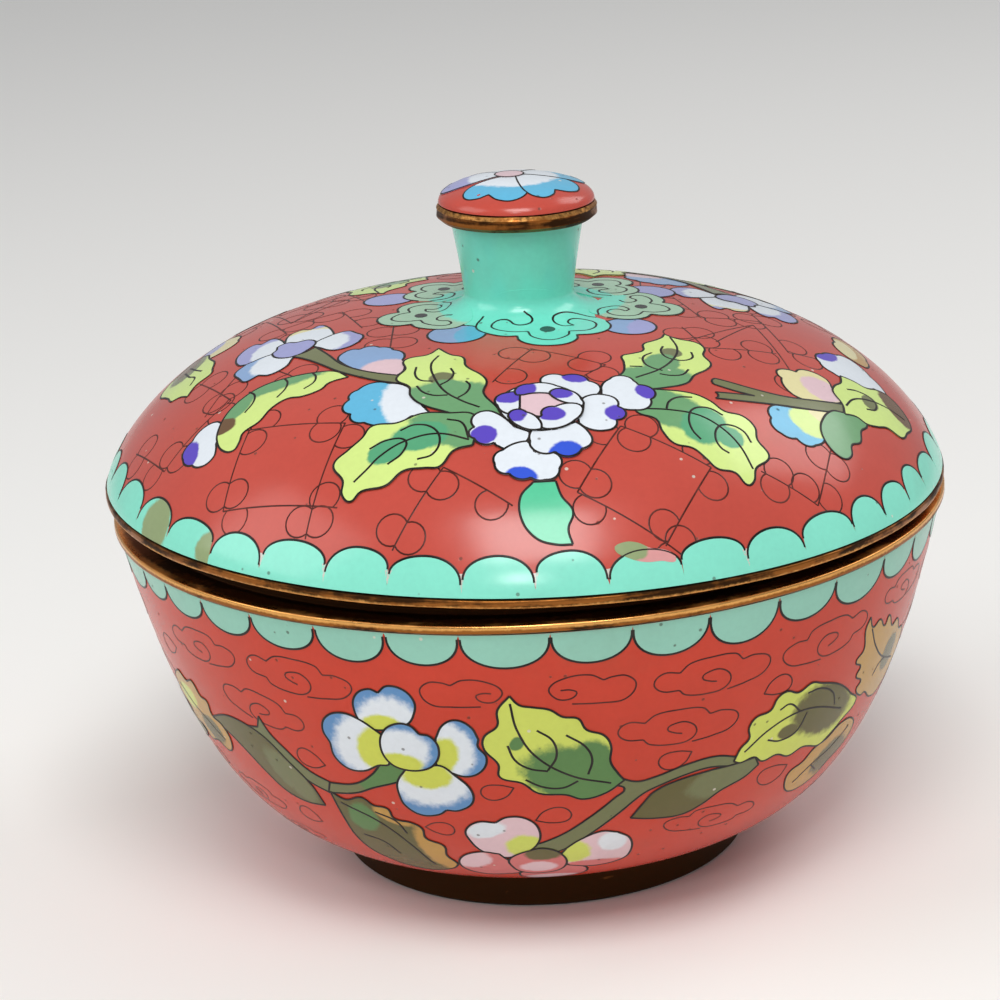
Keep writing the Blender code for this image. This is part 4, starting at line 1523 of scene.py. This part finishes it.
BOWL_LEAVES = [
    Cell([(-5, 12.6, 0), (-3.4, 14.6), (-1, 15.2), (1.8, 15.9), (4, 17.6), (6.6, 18.2), (8, 20.8),
          (11, 22.4),
          (12.2, 25), (12, 28.5), (13.2, 31.4), (14.4, 33.4, 0), (11, 36), (7, 37), (4, 35.6), (-.8, 34.8),
          (-3.6, 32.2), (-7.4, 30.7), (-7.6, 27.6), (-9.9, 24.2), (-9.8, 21.4), (-7.4, 19), (-7.2, 15.6)],
         "bowl_leaf", [("moss", 6.6, 31.6, 10.6, 6.6, 24), ("moss", 8.8, 27.6, 3.6, 4.4, 0),
                       ("moss", -4.2, 23, 1.2, 1.6, 30)],
         [[(-5, 14.2), (-4, 20), (-1, 26), (5, 31), (12, 33.7)],
          [(-.6, 20.2), (2, 22.6), (2.6, 26.2), (1, 29.4)],
          [(-5.8, 23.4), (-4.6, 26.8), (-2.2, 28.8), (1, 29.6)],
          [(4.4, 21.6), (7.6, 24.4), (8.8, 27.6), (8, 31)],
          [(-3, 31.4), (0, 33.3), (3.4, 33.8), (6.2, 32.4)]]),
    Cell([(15.4, 43.6, 0), (17.8, 40), (20, 37.4), (24, 35.8), (30, 35), (36, 35), (40.4, 34.8, 0),
          (41.2, 37, 0),
          (38, 39.2), (33, 41), (29, 43.6), (25, 45.2), (20, 44.8)], "bronze",
          [("olive", 34, 38, 8, 4, -10)]),
    Cell([(35.6, 34.2, 0), (37, 31.4), (38.8, 29.6), (38.7, 27), (40.2, 25), (43.4, 24.4), (45, 22),
          (47.2, 21.2),
          (50, 22.4), (53.4, 21.4), (56, 22.4), (60, 24), (63, 26), (66, 29), (68.6, 32), (64, 35),
          (60, 37.4),
          (57, 38.6), (54, 37.4), (52, 36.8), (48.4, 37.6), (45.4, 36), (42, 36.4), (40, 34.6), (37, 35)],
         "bowl_leaf", [("bronze", 57.4, 29, 8.6, 6.2, 12), ("bronze", 48, 31, 2.6, 1.6, 0)],
         [[(37.8, 32.6), (43, 29), (49, 27.2), (55, 27.8), (63, 31.4)],
          [(43, 31.4), (46, 32.6), (50, 31.8), (52.6, 28)],
          [(52.4, 23.4), (56, 23.6), (59.6, 26), (60.6, 29.4)], [(45.6, 25), (48, 24.4), (50.6, 27)]]),
    Cell([(48.6, 45.6), (49.6, 42.8), (53, 41.6), (56, 39.2), (60, 38.2), (64, 36.2), (68.6, 36.8),
          (70.6, 40.4),
          (68, 44), (63, 46.4), (58, 49.6), (53, 50.4), (49.8, 49.2)], "gold",
          [("bronze", 62, 44, 6.4, 3.6, -25)],
         [[(51, 47), (56, 44), (62, 42), (68, 38.6)], [(56, 44), (58, 46.6)]]),
    Cell([(70, 12.6, 0), (71.4, 15.4), (74, 14.6), (76.4, 17), (78, 15.2), (80.4, 18.6), (83, 18),
          (85.6, 21.4),
          (88.6, 22.4), (90, 27), (86.4, 32.6), (80.6, 35.2), (75.6, 34.4), (72, 31.4), (70.4, 31.6),
          (68, 29),
          (69.4, 27.4), (67.2, 25.4), (68.4, 23.4), (66.4, 21.6), (68.8, 19.6), (68.6, 15)], "gold",
         [("bronze", 81.4, 25.4, 3.4, 4.4, 30)],
         [[(71, 15.6), (73.4, 20.4), (77.6, 24.8), (85.4, 28.6)],
          [(74.4, 28.4), (76.8, 26.4), (79.4, 26)]]),
    Cell([(-72.4, 29.6, 0), (-66, 26.8), (-60, 26.9), (-55, 28.6), (-50, 32.8), (-45, 37.8), (-42.4, 43, 0),
          (-47, 43.4), (-52, 42), (-57, 38.2), (-62, 34.2), (-67, 31.2)], "bronze",
          [("olive", -50, 37, 8, 3, 45)]),
    Cell([(-88, 25, 0), (-84, 22.4), (-80.6, 23.6), (-77.4, 22.6), (-75, 25.4), (-72.6, 25.8), (-72, 29),
          (-68.6, 30.4), (-66.8, 34), (-68.6, 37.4), (-73, 36.4), (-77, 37.6), (-79.6, 35), (-83.4, 35.2),
          (-85, 31.6), (-88.4, 30.2)], "gold", [("bronze", -73.6, 33.4, 4.4, 3, 20),
                                                ("bowl_leaf", -82, 28, 4, 3, 0)],
         [[(-86, 26.4), (-80.4, 29.4), (-74.6, 31.8), (-69, 34.6)]]),
    Cell([(-40.6, 38.4, 0), (-37.4, 39.8), (-34, 38.4), (-31.6, 40), (-28.8, 40.4), (-27.6, 43),
          (-24.4, 43.6),
          (-22.4, 45), (-21.8, 48), (-18.6, 50), (-18.2, 53.4), (-16.4, 57.6), (-21, 61.6), (-26, 61),
          (-30, 58.4),
          (-33.4, 55.6), (-36.4, 51), (-38.2, 46)], "bronze",
         [("gold", -19.6, 52, 3.0, 8.4, -24), ("gold", -28, 42.4, 4.2, 1.8, 25),
          ("moss", -34, 44, 3, 4, -20)],
         [[(-38.6, 40.8), (-31, 44.4), (-25.4, 50), (-20.6, 58)],
          [(-31.4, 41.8), (-27.4, 43.6), (-25.4, 47)],
          [(-34.6, 49.6), (-30.4, 51), (-27.4, 54.8)]]),
]

PINK_FLOWER = [
    Cell([(-13.6, 47.6), (-14.2, 44.6), (-12, 42.2), (-8.8, 42.3, 0), (-6.6, 40.8), (-3.4, 41.2),
          (-1.2, 44),
          (-1.4, 48.6), (-4.6, 52.4), (-8, 53.2), (-11.4, 51.2)], "pink",
         [("bowl_leaf", -3.6, 49.4, 3.6, 3.4, 0), ("white", -10.5, 44.4, 3.6, 2.2, -20)]),
    Cell([(-8.4, 52, 0), (-12, 51.4), (-15.4, 53.6), (-15.6, 57.6), (-12.4, 61), (-8, 61.4), (-4.6, 59.4)],
         "rose",
         [("pink", -13.4, 54.6, 3.6, 3.2, -30)]),
    Cell([(3.6, 50.8, 0), (6, 48.4), (10, 46.4), (13, 47.2, 0), (15.2, 49.6), (15.4, 54), (13.6, 57.4),
          (8.6, 59), (4, 57.6, 0), (2.4, 54)], "pink",
         [("bowl_leaf", 4.8, 52.4, 3.2, 3.8, 0), ("rose", 8, 58.4, 7, 2.4, 0),
          ("white", 12, 50, 2.6, 3, 0)]),
    Cell([(-3, 58.6, 0), (-5, 62), (-2.6, 65.6), (2.2, 65.6), (6.6, 63), (7, 59.4), (3.6, 57.4, 0)], "rose",
         [("pink", 1, 64.4, 4.6, 2, 0)]),
    Cell([(-6.6, 56), (-6.4, 53.4), (-3.2, 51), (0, 50.4), (2.8, 52.8), (3.5, 56.8), (1.2, 60.2),
          (-3.8, 60.4)],
         "rose", [("bronze", -.6, 52.2, 3.4, 2.2, 0), ("pink", -1.4, 57.4, 3.4, 2.2, 0)]),
]

# Where sprays fill the wall between the front picture and its repeat behind, in degrees.
SPRAY_TURNS = (94, -93)


def bowl_picture():
    """All cells of the bowl in drawing order, each with its level and group."""
    scallops = named("scallops", bowl_scallops()[0])
    cells = []
    front = named("stems", BOWL_STEMS + [FLOWER_SEPAL]) + named("leaves", BOWL_LEAVES)
    front += named("petals", BOWL_FLOWER + PINK_FLOWER)
    for shift in (0.0, facing(math.pi)):
        cells += [moved(cell, shift) for cell in front]
    for degrees in SPRAY_TURNS:
        for cell in (BOWL_STEMS[1], BOWL_LEAVES[0], BOWL_LEAVES[1]):
            cells.append(moved(cell, facing(math.radians(degrees)) - 10))
    return scallops + stacked(cells)


# =============================================================================================
# turned pieces
# =============================================================================================

def offset_inwards(curve, distance):
    """A curve that runs at a constant distance to the left of the given one."""
    result = []
    for index, (radius, height) in enumerate(curve):
        before, after = curve[max(index - 1, 0)], curve[min(index + 1, len(curve) - 1)]
        run, rise = after[0] - before[0], after[1] - before[1]
        length = math.hypot(run, rise)
        result.append((max(radius - distance * rise / length, 0.0), height + distance * run / length))
    return result


def inward_facing(face, axis_point):
    """Whether a face of a hollow piece looks into the hollow."""
    return face.normal.dot(face.calc_center_median() - Vector(axis_point)) < 0


def mark_wear_and_painted_light(shape, measure):
    """Writes the attribute of wear and painted light, which measure gives for a point."""
    layer = shape.verts.layers.float.new("wear_and_painted_light")
    for vertex in shape.verts:
        vertex[layer] = measure(vertex.co)


def lid_ground():
    """Enamelled dome and neck, with the lining under it."""
    dome = dome_profile(64)
    inner = offset_inwards(dome, WALL)
    inner[0] = (dome[0][0] - WALL, dome[0][1])
    outer = (dome + neck_profile(14, 14)[1:])[::-1]
    crown = (0.0, LID_RIM_THICKNESS + LID_RISE - WALL)
    shape = turned([(0.0, outer[0][1])] + outer + inner + [crown])
    for face in shape.faces:
        middle = face.calc_center_median()
        radius = math.hypot(middle.x, middle.y)
        if inward_facing(face, (0, 0, 0)):
            face.material_index = 2
        elif radius < NECK_EDGE:
            face.material_index = 1
    return settle("lid_ground", shape, [finish("lid_ground"), finish("neck"), finish("lining")],
                  "lid_body", LID_FRAME)


def lid_brass_rim():
    """Brass ring under the dome with its rubbed edge and the locating lip."""
    lip_inside = LIP_RADIUS - LIP_WALL
    profile = [(lip_inside, -LIP_DEPTH), (LIP_RADIUS, -LIP_DEPTH), (LIP_RADIUS, 0.0), (LID_RIM_RADIUS, 0.0),
               (LID_RIM_RADIUS, LID_RIM_THICKNESS), (lip_inside, LID_RIM_THICKNESS)]
    shape = turned(rounded(profile, RIM_ROUNDING))

    def measure(point):
        edge = math.hypot(point.x, point.y) / LID_RIM_RADIUS
        low = 1 - min(1.0, max(point.z, 0.0) / (LID_RIM_THICKNESS * 0.7))
        # Away from its outer edge the ring is blackened, as painted shade in the gap under the lid.
        return (0.1 + 0.6 * low) if edge > 0.99 else -0.6

    mark_wear_and_painted_light(shape, measure)
    uneven(shape, 0.00010, 0.011, 3)
    return settle("lid_brass_rim", shape, [finish("lid_brass")], "lid_rim", LID_FRAME)


def knob_brass_band():
    """Brass disc that frames the cap, with a bead along its upper edge."""
    profile = [(0.0, KNOB_BAND_LOW), (KNOB_RADIUS - 0.0008, KNOB_BAND_LOW),
               (KNOB_RADIUS, KNOB_BAND_LOW + 0.0007),
               (KNOB_RADIUS - 0.0001, KNOB_BAND_HIGH - 0.0011), (KNOB_RADIUS, KNOB_BAND_HIGH - 0.0007),
               (KNOB_RADIUS - 0.0004, KNOB_BAND_HIGH), (0.0, KNOB_BAND_HIGH)]
    shape = turned(profile)
    mark_wear_and_painted_light(shape, lambda point: 0.5 if point.z > KNOB_BAND_HIGH - 0.0010 else 0.12)
    uneven(shape, 0.00008, 0.006, 9)
    return settle("knob_brass_band", shape, [finish("knob_brass")], "knob_band", LID_FRAME)


def cap_ground():
    """Enamelled dome on top of the knob."""
    profile = cap_profile(24)
    shape = turned([(0.0, profile[0][1])] + profile)
    return settle("cap_ground", shape, [finish("lid_ground")], "knob_cap", LID_FRAME)


def bowl_ground():
    """Enamelled bowl, hollow and open at the mouth."""
    outside = bowl_profile(72)
    outside[-1] = (0.0, outside[-1][1])
    inner = offset_inwards(outside[::-1], WALL)
    inner[-1] = (outside[0][0] - WALL, outside[0][1])
    inner[0] = (0.0, inner[0][1])
    shape = turned(outside[::-1] + inner[::-1])
    for face in shape.faces:
        if inward_facing(face, (0, 0, RIM_UNDERSIDE)):
            face.material_index = 1
    return settle("bowl_ground", shape, [finish("bowl_ground"), finish("lining")],
                  "bowl_body")


def bowl_brass_rim():
    """Flat brass ring on the mouth, with a ledge and the raised seat that the lid drops into."""
    profile = [(MOUTH_RADIUS, RIM_UNDERSIDE), (BOWL_RIM_RADIUS, RIM_UNDERSIDE), (BOWL_RIM_RADIUS, LEDGE),
               (SEAT_RADIUS, LEDGE), (SEAT_RADIUS, LEDGE + SEAT_HEIGHT),
               (MOUTH_RADIUS, LEDGE + SEAT_HEIGHT)]
    shape = turned(rounded(profile, RIM_ROUNDING))

    def measure(point):
        edge = math.hypot(point.x, point.y)
        # Near the seat, under the lid's edge, the ring is blackened as painted shade.
        if edge < SEAT_RADIUS + 0.0022:
            return -0.6
        # The rounded outer top edge is rubbed bright, and this also paints the highlight along the lip.
        return 0.85 if edge > BOWL_RIM_RADIUS - 0.0006 and point.z > LEDGE - 0.0006 else 0.2

    mark_wear_and_painted_light(shape, measure)
    uneven(shape, 0.00008, 0.012, 5)
    return settle("bowl_brass_rim", shape, [finish("rim_brass")], "bowl_rim")


def foot():
    """Low turned ring that the bowl stands on, its brass darkened to near black as painted shade."""
    inner = FOOT_RADIUS - FOOT_WALL
    top_inner = FOOT_NECK_RADIUS - FOOT_WALL * 0.8
    profile = [(inner, 0.0), (FOOT_RADIUS - RIM_ROUNDING, 0.0), (FOOT_RADIUS, RIM_ROUNDING),
               (FOOT_NECK_RADIUS, FOOT_HEIGHT * 0.6),
               (FOOT_NECK_RADIUS, bowl_outside(FOOT_NECK_RADIUS) - GAP),
               (top_inner, bowl_outside(top_inner) - GAP)]
    shape = turned(profile)
    return settle("foot", shape, [finish("foot_brass_painted_shade")], "foot_ring")


# =============================================================================================
# operators
# =============================================================================================

_pictures = {}


def of_group(cells, *groups):
    return [cell for cell in cells if cell.group in groups]


def lid_cells(*groups):
    """Cells of the lid in the given groups, worked out once."""
    if "lid" not in _pictures:
        _pictures["lid"] = lid_picture()
    return of_group(_pictures["lid"], *groups) if groups else _pictures["lid"]


def bowl_cells(*groups):
    """Cells of the bowl in the given groups, worked out once."""
    if "bowl" not in _pictures:
        _pictures["bowl"] = bowl_picture()
    return of_group(_pictures["bowl"], *groups) if groups else _pictures["bowl"]


class BOWL_OT_turned_pieces(bpy.types.Operator):
    """Enamelled bowl, dome and cap, with the brass rims, knob band and foot"""
    bl_idname = "bowl.turned_pieces"
    bl_label = "Turned pieces"

    def execute(self, context):
        lid_ground()
        lid_brass_rim()
        knob_brass_band()
        cap_ground()
        bowl_ground()
        bowl_brass_rim()
        foot()
        return {"FINISHED"}


class BOWL_OT_lid_enamel(bpy.types.Operator):
    """Scallops, collar, flowers, leaves and stems of the lid"""
    bl_idname = "bowl.lid_enamel"
    bl_label = "Enamel of the lid"

    def execute(self, context):
        skin = lid_skin()
        for name, grid, groups in (("lid_scallops", FINE_GRID, ("scallops",)),
                                   ("lid_collar", FINE_GRID, ("collar",)),
                                   ("lid_flowers", CELL_GRID, ("petals", "centre")),
                                   ("lid_leaves", CELL_GRID, ("leaves", "stems"))):
            cells_piece(name, lid_cells(*groups), skin, finish("cells"), grid)
        cells_piece("collar_dots", lid_cells("dots"), skin, finish("black"), FINE_GRID)
        return {"FINISHED"}


class BOWL_OT_lid_wires(bpy.types.Operator):
    """Outline wires and ground wires of the lid"""
    bl_idname = "bowl.lid_wires"
    bl_label = "Wires of the lid"

    def execute(self, context):
        skin, lift = lid_skin(), sizes().enamel_lift
        _, crests = lid_scallops()
        outlines = outline_runs(lid_cells())
        outlines += [(part, 0) for crest in crests for part in showing(crest,
                                                            lid_cells("leaves", "centre"))]
        wires_piece("lid_outline_wires", outlines, skin, sizes().bold_wire, lift, finish("wire"))
        ground = ground_runs(lid_lattice(), lid_cells())
        wires_piece("lid_ground_wires", ground, skin, sizes().fine_wire, 0.0, finish("fine_wire"))
        return {"FINISHED"}


class BOWL_OT_cap_picture(bpy.types.Operator):
    """Flower on the cap of the knob"""
    bl_idname = "bowl.cap_picture"
    bl_label = "Flower of the cap"

    def execute(self, context):
        cells, skin = cap_cells(), cap_skin()
        cells_piece("cap_flower", cells, skin, finish("cells"))
        wires_piece("cap_wires", outline_runs(cells), skin, sizes().fine_wire, sizes().enamel_lift,
                    finish("wire"))
        return {"FINISHED"}


class BOWL_OT_bowl_enamel(bpy.types.Operator):
    """Scallops, flowers, leaves and stems of the bowl"""
    bl_idname = "bowl.bowl_enamel"
    bl_label = "Enamel of the bowl"

    def execute(self, context):
        skin = bowl_skin()
        for name, groups in (("bowl_scallops", ("scallops",)), ("bowl_flowers", ("petals",)),
                             ("bowl_leaves", ("leaves", "stems"))):
            cells_piece(name, bowl_cells(*groups), skin, finish("bowl_cells"))
        return {"FINISHED"}


class BOWL_OT_bowl_wires(bpy.types.Operator):
    """Outline wires and cloud wires of the bowl"""
    bl_idname = "bowl.bowl_wires"
    bl_label = "Wires of the bowl"

    def execute(self, context):
        skin, lift = bowl_skin(), sizes().enamel_lift
        _, hangs = bowl_scallops()
        outlines = outline_runs(bowl_cells()) + [(hang, 0) for hang in hangs]
        wires_piece("bowl_outline_wires", outlines, skin, sizes().bold_wire, lift, finish("wire"))
        ground = ground_runs(bowl_ground_lines(), bowl_cells())
        wires_piece("bowl_cloud_wires", ground, skin, sizes().fine_wire, 0.0, finish("fine_wire"))
        return {"FINISHED"}


def soft_light(name, place, target, wide, power):
    """A square area light that looks at a point."""
    light = bpy.data.lights.new(name, "AREA")
    light.shape = "SQUARE"
    light.size = wide
    light.energy = power
    lamp = bpy.data.objects.new(name, light)
    lamp.location = place
    lamp.rotation_euler = (Vector(target) - Vector(place)).to_track_quat("-Z", "Y").to_euler()
    bpy.context.scene.collection.objects.link(lamp)


class BOWL_OT_stage(bpy.types.Operator):
    """Pale floor, soft light and camera"""
    bl_idname = "bowl.stage"
    bl_label = "Stage"

    def execute(self, context):
        scene = context.scene
        scene.view_settings.view_transform = "Standard"
        bpy.ops.mesh.primitive_plane_add(size=FLOOR_SIZE, location=(0, 0, -FLOOR_DROP))
        ground = context.active_object
        ground.name = "floor"
        made, _, shader = new_material("pale_floor", "floor")
        shader.inputs["Roughness"].default_value = 0.85
        ground.data.materials.append(made)

        world = bpy.data.worlds.new("studio")
        world.use_nodes = True
        world.node_tree.nodes["Background"].inputs["Color"].default_value = (0.95, 0.97, 1.0, 1.0)
        world.node_tree.nodes["Background"].inputs["Strength"].default_value = WORLD_STRENGTH
        scene.world = world
        for name, place, wide, power in LAMPS:
            soft_light(name, place, (0, 0, LEDGE), wide, power)

        camera = bpy.data.cameras.new("view")
        camera.lens = CAMERA_LENS
        camera.sensor_width = 36.0
        camera.clip_start = 0.01
        holder = bpy.data.objects.new("view", camera)
        place = Vector((0, -CAMERA_DISTANCE * math.cos(CAMERA_ELEVATION),
                        CAMERA_DISTANCE * math.sin(CAMERA_ELEVATION) + LEDGE))
        turn = Matrix.Rotation(math.radians(90) - CAMERA_ELEVATION - CAMERA_PITCH, 4, "X")
        turn = turn @ Matrix.Rotation(-CAMERA_YAW, 4, "Y") @ Matrix.Rotation(-CAMERA_ROLL, 4, "Z")
        holder.matrix_world = Matrix.Translation(place) @ turn
        scene.collection.objects.link(holder)
        scene.camera = holder
        return {"FINISHED"}


class BOWL_PT_pieces(bpy.types.Panel):
    """Steps that build the bowl"""
    bl_idname = "BOWL_PT_pieces"
    bl_label = "Lidded bowl"
    bl_space_type = "VIEW_3D"
    bl_region_type = "UI"
    bl_category = "Bowl"

    def draw(self, context):
        for operator in OPERATORS:
            self.layout.operator(operator.bl_idname)


OPERATORS = (BOWL_OT_turned_pieces, BOWL_OT_lid_enamel, BOWL_OT_lid_wires, BOWL_OT_cap_picture,
             BOWL_OT_bowl_enamel, BOWL_OT_bowl_wires, BOWL_OT_stage)
CLASSES = (BowlColors, BowlSizes, BowlSettings, *OPERATORS, BOWL_PT_pieces)


def register():
    for item in CLASSES:
        bpy.utils.register_class(item)
    bpy.types.Scene.lidded_bowl = PointerProperty(type=BowlSettings)


def unregister():
    del bpy.types.Scene.lidded_bowl
    for item in reversed(CLASSES):
        bpy.utils.unregister_class(item)


def main():
    register()
    bpy.ops.bowl.turned_pieces()
    bpy.ops.bowl.lid_enamel()
    bpy.ops.bowl.lid_wires()
    bpy.ops.bowl.cap_picture()
    bpy.ops.bowl.bowl_enamel()
    bpy.ops.bowl.bowl_wires()
    bpy.ops.bowl.stage()


if __name__ == "__main__":
    main()
